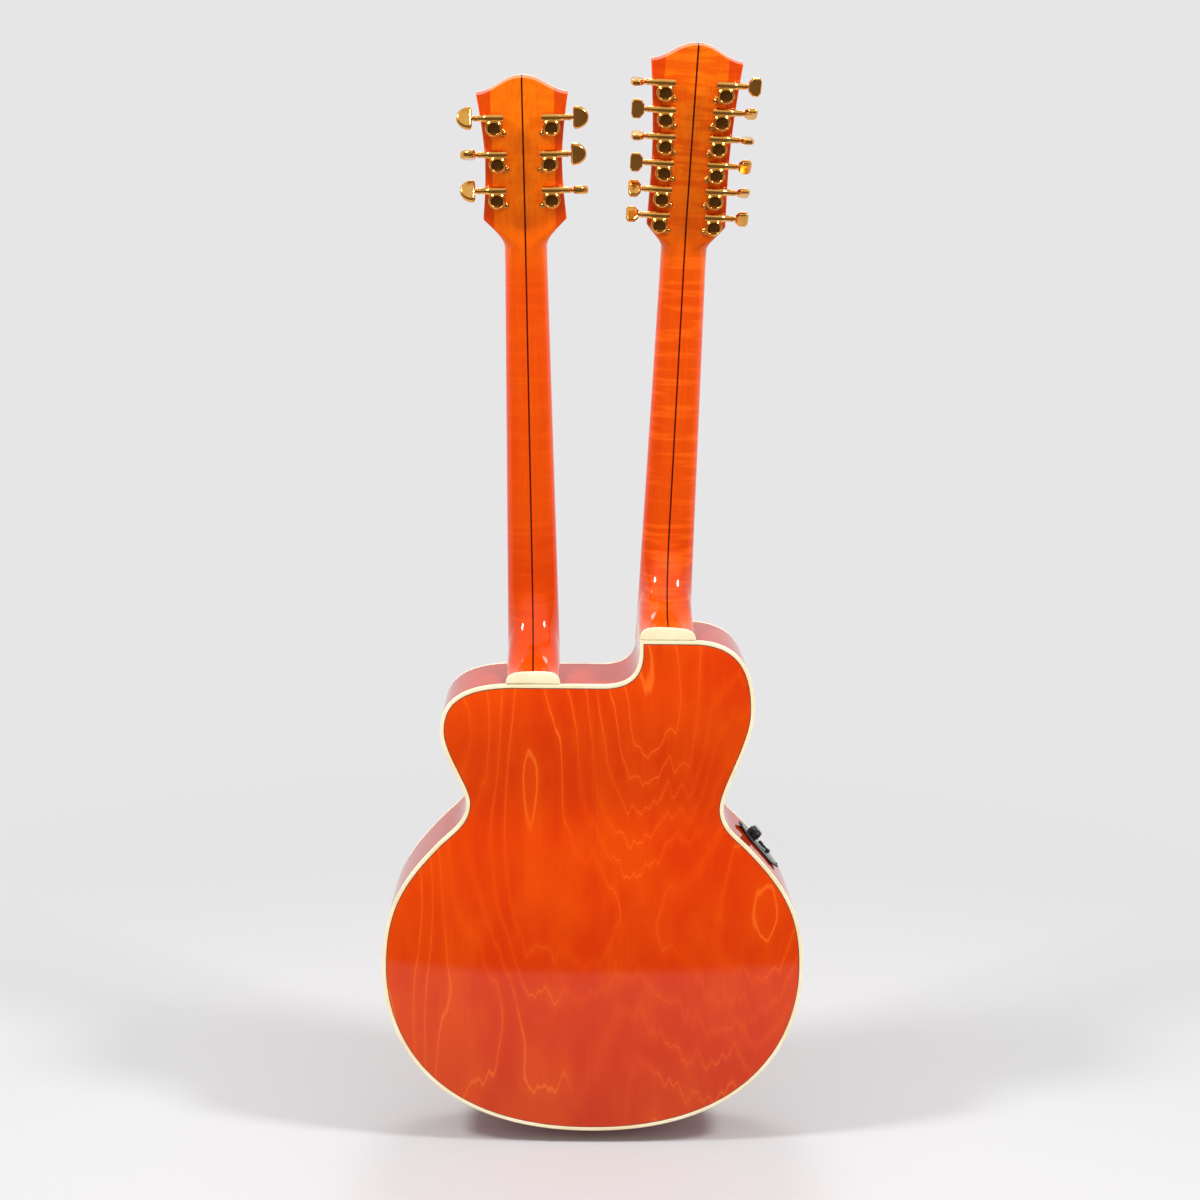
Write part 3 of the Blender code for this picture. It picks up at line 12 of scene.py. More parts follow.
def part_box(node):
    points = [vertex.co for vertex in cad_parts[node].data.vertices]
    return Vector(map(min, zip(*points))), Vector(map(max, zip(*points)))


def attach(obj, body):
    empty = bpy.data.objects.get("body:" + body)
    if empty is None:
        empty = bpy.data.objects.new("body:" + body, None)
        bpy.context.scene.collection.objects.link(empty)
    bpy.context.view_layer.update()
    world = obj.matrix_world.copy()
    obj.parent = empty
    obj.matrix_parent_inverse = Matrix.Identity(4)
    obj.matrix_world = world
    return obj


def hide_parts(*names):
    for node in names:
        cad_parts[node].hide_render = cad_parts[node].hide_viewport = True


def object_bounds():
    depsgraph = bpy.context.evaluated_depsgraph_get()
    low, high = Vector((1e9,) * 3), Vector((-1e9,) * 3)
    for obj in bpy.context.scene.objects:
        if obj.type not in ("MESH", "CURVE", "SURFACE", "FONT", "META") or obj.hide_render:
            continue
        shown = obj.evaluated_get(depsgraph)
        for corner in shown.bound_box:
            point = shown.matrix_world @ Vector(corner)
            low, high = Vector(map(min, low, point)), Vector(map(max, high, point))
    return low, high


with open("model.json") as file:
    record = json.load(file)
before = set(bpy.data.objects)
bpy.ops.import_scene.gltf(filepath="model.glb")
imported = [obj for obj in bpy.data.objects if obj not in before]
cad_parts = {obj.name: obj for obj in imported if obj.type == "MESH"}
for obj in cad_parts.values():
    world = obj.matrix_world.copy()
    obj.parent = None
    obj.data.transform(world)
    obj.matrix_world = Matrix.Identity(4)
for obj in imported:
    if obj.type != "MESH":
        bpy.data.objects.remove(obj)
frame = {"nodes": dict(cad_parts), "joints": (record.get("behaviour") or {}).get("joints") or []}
cad_low, cad_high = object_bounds()

# Body, as in the CAD; heights count from the tail
GAP = 0.0003
TAIL_Z = 0.014
FRONT_Y, BACK_Y = -0.05, 0.05
LOWER = (0.216, 0.1775)
WAIST_REACH = 0.13
KNEE_REACH, KNEE_DROP, KNEE_ANGLE = 0.0292, 0.0434, math.radians(46.4)
SIX = SimpleNamespace(waist=0.3545, reach=0.1565, bout=0.4285, shoulder=0.478, start=0.08)
TWELVE = SimpleNamespace(waist=0.3505, reach=0.159, bout=0.4495, shoulder=0.524, start=0.095)
CUT_EDGE, CUT_SPREAD, CUT_RISE = -0.0425, 0.037, 0.033
RIM, PLATE = 0.004, 0.003
BINDING_WIDTH, BINDING_HEIGHT = 0.0039, 0.006
PURFLING = 0.0006
HOLE_X, HOLE_Z, HOLE_RADIUS = -0.002, TAIL_Z + 0.3865, 0.042
HEEL_RISE, HEEL_CAP, HEEL_SWEEP, HEEL_TURN = 0.013, 0.0035, 0.085, 0.625
NECK_DEPTH, BODY_DEPTH = 0.02, 0.1
SCALE = 0.6285
NUT_Z, NUT_LENGTH, NUT_RISE = 0.9155, 0.005, 0.0082
HEAD_PITCH, HEAD_DEPTH = math.radians(15), 0.015
CORNER_HALF, CREST = 0.0445, 0.0165
OVERLAY = 0.0016
ROOT_DEPTH = 0.0215
HEEL_POWER, NECK_POWER, HEAD_POWER = 3.4, 2.5, 18.5
BOARD_TOP, BOARD_ARCH = -0.0062, 0.0007
BRIDGE_DEPTH = 0.0085
WORM_AXIS = (0.0, 0.0048, 0.0092)
PANEL, KNOB_X, LEVER_X = 0.0016, -0.0125, 0.0005
STANDING = Matrix.Rotation(math.radians(90), 4, "X")
SMOOTH_ANGLE = 32
MERGE = 0.000002

NECKS = {
    "6": SimpleNamespace(
        x=0.0746, lean=math.radians(1.5), nut=0.0212, heel=0.0272, side=SIX,
        frets=22, strings=6, nut_spread=0.0178, saddle_spread=0.0265, pair=0.0,
        rows=3, first=0.053, step=0.0358, corner=0.155, waist=0.089,
        waist_half=0.0378, flare=0.0315, flare_half=0.0415, hollow=0.012,
    ),
    "12": SimpleNamespace(
        x=-0.0836, lean=math.radians(-2.0), nut=0.0228, heel=0.028, side=TWELVE,
        frets=20, strings=12, nut_spread=0.0195, saddle_spread=0.0272, pair=0.0024,
        rows=6, first=0.0288, step=0.0261, corner=0.188, waist=0.092,
        waist_half=0.0381, flare=0.027, flare_half=0.0394, hollow=0.007,
    ),
}
GAUGES = (0.00066, 0.00053, 0.00041, 0.00031, 0.00021, 0.00016)
OCTAVES = (0.00034, 0.00026, 0.0002, 0.00016, 0.00021, 0.00016)


# Materials


class Nodes:
    """A node tree, with short ways to add nodes to it."""

    def __init__(self, tree):
        self.tree = tree

    def put(self, node, values):
        """Links or sets a node's inputs; an underscore in a name stands for a space."""
        for key, value in values.items():
            socket = node.inputs[key if isinstance(key, int) else key.replace("_", " ")]
            if isinstance(value, bpy.types.NodeSocket):
                self.tree.links.new(value, socket)
            else:
                socket.default_value = (*value, 1.0) if socket.type == "RGBA" else value
        return node

    def add(self, kind, values=None, **settings):
        node = self.tree.nodes.new("ShaderNode" + kind)
        for key, value in settings.items():
            setattr(node, key, value)
        return self.put(node, values or {})

    def place(self, scale=(1, 1, 1), move=(0, 0, 0)):
        at = self.add("TexCoord").outputs["Object"]
        return self.add("Mapping", {"Vector": at, "Scale": scale, "Location": move}).outputs[0]

    def noise(self, at, detail=2.0, rough=0.5, twist=0.0, move=(0, 0, 0)):
        """Noise at a vector, or over the object's coordinates stretched by a scale."""
        if isinstance(at, tuple):
            at = self.place(at, move)
        values = {"Vector": at, "Scale": 1.0, "Detail": detail, "Roughness": rough, "Distortion": twist}
        return self.add("TexNoise", values).outputs[0]

    def sum(self, kind, *values):
        return self.add("Math", dict(enumerate(values)), operation=kind).outputs[0]

    def times(self, *values):
        return self.sum("MULTIPLY", *values)

    def span(self, value, low, high, out_low=0.0, out_high=1.0):
        values = {"Value": value, "From_Min": low, "From_Max": high, "To_Min": out_low, "To_Max": out_high}
        return self.add("MapRange", values, interpolation_type="SMOOTHSTEP").outputs[0]

    def mix(self, share, first, second):
        return self.add("Mix", {0: share, 6: first, 7: second}, data_type="RGBA").outputs[2]

    def bump(self, height, strength, distance):
        values = {"Height": height, "Strength": strength, "Distance": distance}
        return self.add("Bump", values).outputs[0]

    def across(self, at, axis):
        return self.add("SeparateXYZ", {0: at}).outputs[axis]

    def seen(self):
        """1 for rays from the camera, off a mirror or through glass, 0 for the rest."""
        path = self.add("LightPath").outputs
        plain = self.sum("MAXIMUM", path["Is Camera Ray"], path["Is Glossy Ray"])
        return self.sum("MAXIMUM", plain, path["Is Transmission Ray"])

    def mirrored(self):
        return self.add("LightPath").outputs["Is Glossy Ray"]


class Look(Nodes):
    """A material with its nodes and the colour laid down so far."""

    def __init__(self, name, colour, **values):
        self.made = bpy.data.materials.new(name)
        self.made.use_nodes = True
        super().__init__(self.made.node_tree)
        self.shader = self.tree.nodes["Principled BSDF"]
        self.put(self.shader, values)
        self.colour = colour

    def lay(self, colour, share):
        self.colour = self.mix(share, self.colour, colour)

    def veil(self, colour, value, low, high, most=1.0):
        """Lays on a colour, from none to the most of it while the value goes from low to high."""
        self.lay(colour, self.span(value, low, high, 0.0, most))

    def finish(self, **values):
        self.put(self.shader, {"Base_Color": self.colour, **values})
        return self.made


LACQUER = {
    "Roughness": 0.55, "Specular_IOR_Level": 0.0, "Coat_Weight": 1.0, "Coat_Roughness": 0.03,
    "Coat_IOR": 1.38,
}


def figured_orange(name, move, depth=1.0):
    """Orange stained maple: nested contour lines drawn out upright, fine grain and red mottling; a depth
    below 1 darkens the whole colour as painted shade.
    """
    look = Look(name, (0.63, 0.036, 0.0003), **LACQUER)
    ragged = look.noise((52, 52, 5), 2.0, 0.6, move=move)
    lifted = look.times(look.sum("SUBTRACT", ragged, 0.5), 0.088)
    shift = look.add("CombineXYZ", {2: lifted}).outputs[0]
    bent = look.add("VectorMath", {0: look.place(move=move), 1: shift}, operation="ADD").outputs[0]
    bent = look.add("Mapping", {"Vector": bent, "Scale": (7.0, 7.0, 2.5)}).outputs[0]
    wave = look.sum("PINGPONG", look.times(look.noise(bent, 1.0, 0.4), 19.0), 0.5)
    fade = look.span(look.noise((11, 11, 4), 1.0, move=move), 0.36, 0.6)
    grain = look.noise((420, 420, 9), 3.0, 0.6, move=move)
    blotch = look.noise((15, 15, 6), 3.0, 0.6, move=move)
    look.veil((0.7, 0.059, 0.0005), blotch, 0.36, 0.66)
    look.veil((0.58, 0.022, 0.0008), grain, 0.45, 0.75, 0.22)
    look.veil((0.81, 0.078, 0.001), wave, 0.3, 0.0, 0.25)
    share = look.times(look.times(look.span(wave, 0.042, 0.0), fade), 0.62)
    look.lay((0.9, 0.165, 0.014), share)
    side = look.sum("ABSOLUTE", look.across(look.place(), 0))
    look.lay((0.45, 0.015, 0.001), look.times(look.span(side, 0.0007, 0.0), 0.3))
    # Painted shade: below a depth of 1 the whole colour is laid darker, which the sides use.
    look.lay((0.3, 0.012, 0.0008), 1.0 - depth)
    return look.finish()


def neck_orange(name, flame):
    """The neck's orange: a dark strip down its middle, darker wings, upright grain or flame, and painted
    light that brightens it towards the headstock.
    """
    look = Look(name, (0.6, 0.046, 0.0004), **LACQUER)
    at = look.place()
    side = look.sum("ABSOLUTE", look.across(at, 0))
    along = look.across(at, 2)
    grain = look.noise((300, 300, 8), 3.0, 0.6)
    blotch = look.noise((16, 16, 8))
    look.veil((0.68, 0.068, 0.0008), blotch, 0.35, 0.7)
    # Painted light: from below the nut up into the headstock the orange is laid brighter, standing for light
    # falling on the head.
    look.veil((1.0, 0.205, 0.002), along, -0.06, 0.09, 0.9)
    look.veil((0.6, 0.026, 0.001), grain, 0.4, 0.75, 0.3)
    figure = look.noise((18, 18, 150), twist=0.4)
    look.veil((0.92, 0.14, 0.006), figure, 0.45, 0.68, flame)
    curl = look.times(look.span(figure, 0.56, 0.4, 0.0, 1.6 * flame), look.span(along, 0.0, 0.05))
    look.lay((0.78, 0.075, 0.001), curl)
    wing = look.times(look.span(side, 0.0304, 0.0309), look.span(along, 0.01, 0.012))
    look.lay((0.66, 0.03, 0.001), look.times(wing, 0.72))
    look.veil((0.05, 0.004, 0.001), side, 0.00095, 0.00075)
    return look.finish()


def spruce(name):
    """Spruce top under orange-tinted lacquer, with straight upright grain lines."""
    look = Look(name, (0.8, 0.155, 0.014), **LACQUER)
    line = look.noise((520, 520, 1.6), 2.0, 0.7)
    wide = look.noise((60, 60, 1.2))
    silk = look.noise((40, 40, 130))
    look.veil((0.86, 0.2, 0.021), wide, 0.35, 0.65)
    look.veil((0.62, 0.088, 0.007), line, 0.45, 0.62, 0.42)
    look.veil((0.95, 0.33, 0.06), silk, 0.55, 0.75, 0.18)
    return look.finish()


def dark_wood(name, light, dark, roughness, coat):
    look = Look(name, light, Roughness=roughness, Coat_Weight=coat, Coat_Roughness=0.2)
    pore = look.noise((700, 700, 22), 3.0, 0.7)
    look.veil(dark, look.noise((45, 45, 3), 3.0, 0.6), 0.35, 0.65)
    look.veil(tuple(v * 0.3 for v in dark), pore, 0.5, 0.66, 0.7)
    return look.finish(Normal=look.bump(pore, 0.25, 0.0002))


def plain_wood(name):
    look = Look(name, (0.6, 0.4, 0.2), Roughness=0.75)
    grain = look.noise((500, 60, 14), 3.0, 0.6)
    look.veil((0.72, 0.5, 0.27), look.noise((30, 30, 4)), 0.3, 0.7)
    look.veil((0.45, 0.27, 0.12), grain, 0.45, 0.7, 0.5)
    return look.finish(Normal=look.bump(grain, 0.2, 0.0002))


def cream(name, streak):
    """Cream plastic under lacquer, faintly uneven, with streaks for bone."""
    look = Look(
        name, (0.86, 0.72, 0.43), Roughness=0.35, Coat_Weight=0.6, Coat_Roughness=0.06,
        Subsurface_Weight=0.04, Subsurface_Radius=(0.002, 0.0015, 0.001),
    )
    cloud = look.noise((28, 28, 28), 3.0)
    fine = look.noise((900, 900, 60))
    look.veil((0.93, 0.83, 0.58), cloud, 0.3, 0.7)
    look.veil((0.7, 0.54, 0.3), fine, 0.5, 0.7, streak)
    return look.finish()


def metal(name, light, dark, roughness, scratch):
    """Plated metal: its roughness and tint wander a little, with fine scratches."""
    look = Look(name, light, Metallic=1.0)
    cloud = look.noise((90, 90, 90), 3.0, 0.6)
    fine = look.noise((1500, 1500, 160), 2.0, 0.6)
    worn = look.span(cloud, 0.3, 0.7, roughness, roughness * 1.7)
    rough = look.sum("ADD", worn, look.span(fine, 0.55, 0.7, 0.0, scratch))
    look.veil(dark, cloud, 0.35, 0.7)
    return look.finish(Roughness=rough, Normal=look.bump(cloud, 0.04, 0.0004))


def plastic(name, light, dark, roughness, coat):
    look = Look(name, light, Coat_Weight=coat, Coat_Roughness=0.05)
    grit = look.noise((1300, 1300, 1300), 2.0, 0.6)
    cloud = look.noise((40, 40, 40))
    rough = look.span(cloud, 0.3, 0.7, roughness, roughness * 1.3)
    look.veil(dark, cloud, 0.35, 0.65)
    return look.finish(Roughness=rough, Normal=look.bump(grit, 0.05, 0.0001))


def swirled(name, size, twist, low, high, first, second, roughness, coat):
    """Glossy plastic or shell with two colours swirled together."""
    look = Look(name, first, Roughness=roughness, Coat_Weight=1.0, Coat_Roughness=coat)
    swirl = look.noise((size, size, size), 3.0, 0.6, twist)
    look.veil(second, swirl, low, high)
    return look.finish()


def wound(name, light, dark, pitch):
    """String wire with the ripple of its winding across it, painted light on the ridges and painted shade in
    the grooves.
    """
    look = Look(name, dark, Metallic=1.0, Roughness=0.28)
    ripple = look.sum("SINE", look.times(look.across(look.place(), 2), math.tau / pitch))
    # Painted highlight and shade: the colour swings from light on each ridge to dark in each groove.
    look.veil(light, ripple, -1.0, 1.0)
    return look.finish(Normal=look.bump(ripple, 0.35, 0.0001))


BACK = figured_orange("maple back", (1.3, 0.4, 0.7))
# The sides are a darker copy of the back's maple: painted shade.
SIDES = figured_orange("maple sides", (3.0, 1.0, 2.0), 0.35)
NECK_LOOK = {"6": neck_orange("neck orange", 0.12), "12": neck_orange("neck orange flamed", 0.45)}
TOP = spruce("spruce top")
ROSEWOOD = dark_wood("rosewood", (0.075, 0.032, 0.018), (0.04, 0.016, 0.009), 0.5, 0.15)
INNER = plain_wood("pale wood")
CREAM = cream("cream binding", 0.1)
BONE = cream("bone", 0.35)
GOLD = metal("gold plate", (0.9, 0.47, 0.11), (0.8, 0.36, 0.065), 0.1, 0.07)
CHROME = metal("bright chrome", (0.86, 0.86, 0.88), (0.74, 0.74, 0.76), 0.08, 0.06)
# The gearbox cap is a copy of the gold laid darker: painted shade standing for the dark room its mirror face
# reflects.
MIRROR = metal("gold gearbox cap painted dark", (0.42, 0.2, 0.045), (0.28, 0.12, 0.022), 0.09, 0.05)
FRET = metal("fret wire", (0.78, 0.76, 0.72), (0.66, 0.63, 0.58), 0.16, 0.08)
BLACK = plastic("black plastic", (0.018, 0.017, 0.017), (0.01, 0.01, 0.011), 0.35, 0.4)
GLOSS_BLACK = plastic("black gloss", (0.014, 0.013, 0.013), (0.008, 0.008, 0.009), 0.12, 1.0)
PANEL_BLACK = plastic("panel black", (0.022, 0.021, 0.022), (0.014, 0.013, 0.014), 0.2, 0.4)
SATIN_BLACK = plastic("satin black", (0.016, 0.015, 0.015), (0.01, 0.009, 0.009), 0.62, 0.0)
FELT = plastic("black felt", (0.03, 0.028, 0.028), (0.018, 0.017, 0.017), 0.9, 0.0)
PURFLE = plastic("dark purfling", (0.11, 0.03, 0.012), (0.06, 0.018, 0.008), 0.4, 0.8)
GUARD = swirled(
    "tortoise guard", 55, 0.8, 0.45, 0.6, (0.03, 0.01, 0.005), (0.2, 0.055, 0.012), 0.3, 0.04
)
BRONZE = wound("bronze wound string", (0.8, 0.52, 0.27), (0.46, 0.27, 0.12), 0.0007)
STEEL = wound("plain steel string", (0.72, 0.71, 0.69), (0.6, 0.59, 0.57), 0.004)
PEARL = swirled("pearl", 160, 1.2, 0.35, 0.65, (0.62, 0.66, 0.66), (0.86, 0.82, 0.8), 0.22, 0.05)


# Shapes


def lerp(start, end, share):
    return start + (end - start) * share


def shares(steps):
    """Even steps from 0 to 1, both included."""
    return [step / steps for step in range(steps + 1)]


def bezier(start, first, second, end, steps):
    """Points of one cubic curve, without its end point."""
    points = []
    for t in shares(steps)[:-1]:
        weights = ((1 - t) ** 3, 3 * t * (1 - t) ** 2, 3 * t * t * (1 - t), t**3)
        corners = (start, first, second, end)
        points.append(tuple(sum(w * c[i] for w, c in zip(weights, corners)) for i in (0, 1)))
    return points


def side_curve(side):
    """One side of the body from the tail to the shoulder, as (x, height) points."""
    waist = (WAIST_REACH, side.waist)
    knee = (WAIST_REACH + KNEE_REACH, side.waist - KNEE_DROP)
    upper, shoulder = (side.reach, side.bout), (side.start, side.shoulder)
    slope = Vector((-math.cos(KNEE_ANGLE), math.sin(KNEE_ANGLE)))
    climb = knee[1] - LOWER[1]
    rise = upper[1] - waist[1]
    crown = shoulder[1] - upper[1]
    inward = shoulder[0] + 0.8 * (upper[0] - shoulder[0])
    into, out = Vector(knee) - 0.42 * climb * slope, Vector(knee) + 0.46 * KNEE_DROP * slope
    points = bezier((0, 0), (0.77 * LOWER[0], 0), (LOWER[0], 0.56 * LOWER[1]), LOWER, 48)
    points += bezier(LOWER, (LOWER[0], LOWER[1] + 0.47 * climb), into, knee, 26)
    points += bezier(knee, out, (waist[0], waist[1] - 0.48 * KNEE_DROP), waist, 20)
    points += bezier(waist, (waist[0], waist[1] + 0.2 * rise), (upper[0], upper[1] - 0.32 * rise), upper, 22)
    points += bezier(upper, (upper[0], upper[1] + 0.56 * crown), (inward, shoulder[1]), shoulder, 30)
    return points + [shoulder]


def body_outline():
    start = (CUT_EDGE + CUT_SPREAD, SIX.shoulder)
    end = (CUT_EDGE, SIX.shoulder + CUT_RISE)
    cutaway = bezier(
        start, (start[0] - 0.68 * CUT_SPREAD, start[1]), (end[0], end[1] - 0.72 * CUT_RISE), end, 24
    )
    other = [(-x, z) for x, z in reversed(side_curve(TWELVE)[1:])]
    loop = side_curve(SIX) + cutaway + [end, (CUT_EDGE, TWELVE.shoulder)] + other
    return [(x, z + TAIL_Z) for x, z in loop]


OUTLINE = body_outline()


def inset(distance, loop=OUTLINE):
    """The outline moved inwards by the same distance all round, with mitred corners."""
    moved = []
    for index, here in enumerate(loop):
        before = Vector(here) - Vector(loop[index - 1])
        after = Vector(loop[(index + 1) % len(loop)]) - Vector(here)
        normals = [Vector((-edge.y, edge.x)).normalized() for edge in (before, after)]
        mitre = (normals[0] + normals[1]).normalized()
        reach = distance / max(mitre.dot(normals[0]), 0.3)
        moved.append((here[0] + mitre.x * reach, here[1] + mitre.y * reach))
    return moved


def mm(*values):
    """Points in metres from pairs of coordinates in millimetres."""
    return [(x / 1000, y / 1000) for x, y in zip(values[::2], values[1::2])]


def arc(x, y, across, up, start, end, steps):
    """Points along an ellipse between two angles in degrees."""
    angles = [math.radians(lerp(start, end, share)) for share in shares(steps)]
    return [(x + across * math.cos(a), y + up * math.sin(a)) for a in angles]


def circle(x, y, radius, sides=96):
    return arc(x, y, radius, radius, 0, 360, sides)[:-1]


def placed(name, data, matrix):
    """A new object in the scene."""
    made = bpy.data.objects.new(name, data)
    bpy.context.scene.collection.objects.link(made)
    made.matrix_world = matrix
    return made


def evaluated(obj):
    """A new mesh of the object with its curve or modifiers worked out."""
    bpy.context.view_layer.update()
    graph = bpy.context.evaluated_depsgraph_get()
    return bpy.data.meshes.new_from_object(obj.evaluated_get(graph))


def changed(mesh, change):
    """The mesh after a change to its points and faces, with its faces turned outwards."""
    bm = bmesh.new()
    bm.from_mesh(mesh)
    change(bm)
    bmesh.ops.recalc_face_normals(bm, faces=bm.faces)
    bm.to_mesh(mesh)
    bm.free()
    return mesh


def merge(bm):
    bmesh.ops.remove_doubles(bm, verts=bm.verts, dist=MERGE)


def drawn(paths, closed, **settings):
    """The mesh of a curve through (points, radius) paths."""
    curve = bpy.data.curves.new("drawn", "CURVE")
    for key, value in settings.items():
        setattr(curve, key, value)
    for points, radius in paths:
        spline = curve.splines.new("POLY")
        spline.points.add(len(points) - 1)
        for point, corner in zip(spline.points, points):
            point.co = (*corner, 1.0)
            point.radius = radius
        spline.use_cyclic_u = closed
    obj = placed("drawn", curve, Matrix())
    mesh = evaluated(obj)
    bpy.data.objects.remove(obj)
    bpy.data.curves.remove(curve)
    return changed(mesh, merge)


def slab(loops, thickness, edge=0.0, rounds=3, upright=True):
    """A filled outline with any holes, its edges rounded, thick along Y if upright or else along Z."""
    paths = [([(x, y, 0.0) for x, y in loop], 1.0) for loop in loops]
    mesh = drawn(
        paths, True, dimensions="2D", fill_mode="BOTH", extrude=thickness / 2 - edge,
        bevel_depth=edge, bevel_resolution=rounds, offset=-edge,
    )
    if upright:
        mesh.transform(STANDING)
    return mesh


def tube(paths, sides=2):
    """Round wires through (points, radius) paths."""
    return drawn(paths, False, dimensions="3D", bevel_depth=1.0, bevel_resolution=sides, use_fill_caps=True)


def loft(rings, caps=(True, True)):
    """A skin over rings of equally many points, closed at the ends that are wanted."""
    count = len(rings[0])
    faces = []
    for row in range(len(rings) - 1):
        for step in range(count):
            following = (step + 1) % count
            a, b = row * count, (row + 1) * count
            faces.append((a + step, a + following, b + following, b + step))
    for wanted, base in zip(caps, (0, (len(rings) - 1) * count)):
        if wanted:
            faces.append(tuple(base + step for step in range(count)))
    mesh = bpy.data.meshes.new("mesh")
    mesh.from_pydata([tuple(point) for ring in rings for point in ring], [], faces)
    return changed(mesh, merge)


def turned(profile, steps=32):
    """A profile of (radius, height) points turned about local Z."""
    rings = [[(*spot, height) for spot in circle(0, 0, radius, steps)] for radius, height in profile]
    return loft(rings, (profile[0][0] > MERGE, profile[-1][0] > MERGE))


def rounded(start, corner, end, steps):
    """Points of a curve from start to end that rounds the corner between them."""
    return [start * (1 - t) ** 2 + corner * 2 * t * (1 - t) + end * t * t for t in shares(steps)]


def soften(profile, edge):
    """The profile with its inner corners rounded."""
    points = [profile[0]]
    for before, here, after in zip(profile, profile[1:], profile[2:]):
        here = Vector(here)
        a, b = Vector(before) - here, Vector(after) - here
        cut = min(edge, 0.45 * a.length, 0.45 * b.length)
        bend = rounded(here + a.normalized() * cut, here, here + b.normalized() * cut, 3)
        points += [(max(point.x, 0.0), point.y) for point in bend]
    return points + [profile[-1]]


def box(low, high, edge=0.0):
    bm = bmesh.new()
    bmesh.ops.create_cube(bm, size=1.0)
    for vertex in bm.verts:
        vertex.co = Vector(lerp(low[i], high[i], vertex.co[i] + 0.5) for i in range(3))
    if edge:
        bmesh.ops.bevel(bm, geom=bm.edges, offset=edge, segments=3, affect="EDGES", profile=0.5)
    mesh = bpy.data.meshes.new("box")
    bm.to_mesh(mesh)
    bm.free()
    return mesh


def joined(parts):
    """One mesh of several (mesh, finish) or (mesh, matrix, finish) parts, each all in its finish."""
    whole = bmesh.new()
    finishes = []
    for mesh, *at, finish in parts:
        if finish not in finishes:
            finishes.append(finish)
        copy = mesh.copy()
        for matrix in at:
            copy.transform(matrix)
        copy.polygons.foreach_set("material_index", [finishes.index(finish)] * len(copy.polygons))
        whole.from_mesh(copy)
        bpy.data.meshes.remove(copy)
    made = bpy.data.meshes.new("joined")
    whole.to_mesh(made)
    whole.free()
    for finish in finishes:
        made.materials.append(finish)
    return made


def piece(name, mesh, matrix, slot, *nodes, finish=None, body="guitar", angle=SMOOTH_ANGLE):
    """Puts a mesh into the scene; the finish is for a mesh that has none yet."""
    if finish:
        mesh.materials.append(finish)
    mesh.shade_smooth()
    mesh.set_sharp_from_angle(angle=math.radians(angle))
    made = placed(name, mesh, matrix)
    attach(made, body)
    if nodes:
        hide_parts(*nodes)
    return made


def move(x, y, z):
    return Matrix.Translation((x, y, z))


def spin(degrees, axis):
    return Matrix.Rotation(math.radians(degrees), 4, axis)


# Body


def make_body():
    half = BACK_Y - BINDING_HEIGHT - GAP
    rim = slab([OUTLINE, inset(RIM)], 2 * half)
    rim_piece = piece("sides", rim, Matrix(), "orange_lacquer", "body_rim", finish=SIDES)
    seam = BINDING_WIDTH + PURFLING
    hole = circle(HOLE_X, HOLE_Z, HOLE_RADIUS)
    for label, sign, slot, holes, finish in (
        ("back", 1, "orange_lacquer", [], BACK), ("top", -1, "spruce_top", [hole], TOP),
    ):
        ring = slab([OUTLINE, inset(BINDING_WIDTH)], BINDING_HEIGHT, 0.0007)
        at = move(0, sign * (BACK_Y - BINDING_HEIGHT / 2), 0)
        piece(f"{label}_edge_binding", ring, at, "cream_binding", f"{label}_binding", finish=CREAM)
        line = slab([inset(BINDING_WIDTH + 0.00005), inset(seam)], 0.002)
        at = move(0, sign * (BACK_Y - 0.00115), 0)
        piece(f"{label}_purfling", line, at, "black_plastic", finish=PURFLE)
        plate = slab([inset(seam)] + holes, PLATE, 0.0002, 1)
        at = move(0, sign * (BACK_Y - PLATE / 2), 0)
        made = piece(label, plate, at, slot, f"{label}_plate", finish=finish)
        bare_inside(made, lambda centre, normal: normal.y * sign < -0.5)
    rings = []
    for inner, outer, finish in (
        (0.0438, 0.04458, PURFLE), (0.0446, 0.04558, CREAM), (0.0456, 0.0462, PURFLE),
        (0.05, 0.05058, PURFLE), (0.0506, 0.05358, CREAM), (0.0536, 0.0542, PURFLE),
    ):
        loops = [circle(HOLE_X, HOLE_Z, radius) for radius in (outer, inner)]
        rings.append((slab(loops, 0.0006), finish))
    piece("rosette", joined(rings), move(0, FRONT_Y + 0.0002, 0), "cream_binding")
    bare_inside(rim_piece, on_inner_wall)
    return rim_piece


def bare_inside(obj, inner):
    """Gives plain wood to the faces that the test picks, by centre and normal."""
    obj.data.materials.append(INNER)
    for face in obj.data.polygons:
        if inner(obj.matrix_world @ face.center, face.normal):
            face.material_index = len(obj.data.materials) - 1


def on_inner_wall(centre, normal):
    """Whether a face of the sides looks into the body: a step along its normal stays inside."""
    spot = centre + normal * 0.001
    crossings = 0
    for (x0, z0), (x1, z1) in zip(OUTLINE, OUTLINE[1:] + OUTLINE[:1]):
        if (z0 > spot.z) != (z1 > spot.z) and spot.x < x0 + (x1 - x0) * (spot.z - z0) / (z1 - z0):
            crossings += 1
    return abs(normal.y) < 0.5 and crossings % 2 == 1


def cut(obj, mesh, matrix):
    """Takes a shape away from a piece."""
    cutter = placed("cutter", mesh, matrix)
    made = obj.modifiers.new("cut", "BOOLEAN")
    made.operation = "DIFFERENCE"
    made.solver = "EXACT"
    made.object = cutter
    shaped = evaluated(obj)
    obj.modifiers.clear()
    obj.data = shaped
    bpy.data.objects.remove(cutter)
    shaped.set_sharp_from_angle(angle=math.radians(SMOOTH_ANGLE))


# Necks


def neck_frame(spec):
    return move(spec.x, FRONT_Y, NUT_Z) @ Matrix.Rotation(spec.lean, 4, "Y")


TILT = move(0.0, 0.0, NUT_LENGTH) @ Matrix.Rotation(-HEAD_PITCH, 4, "X")


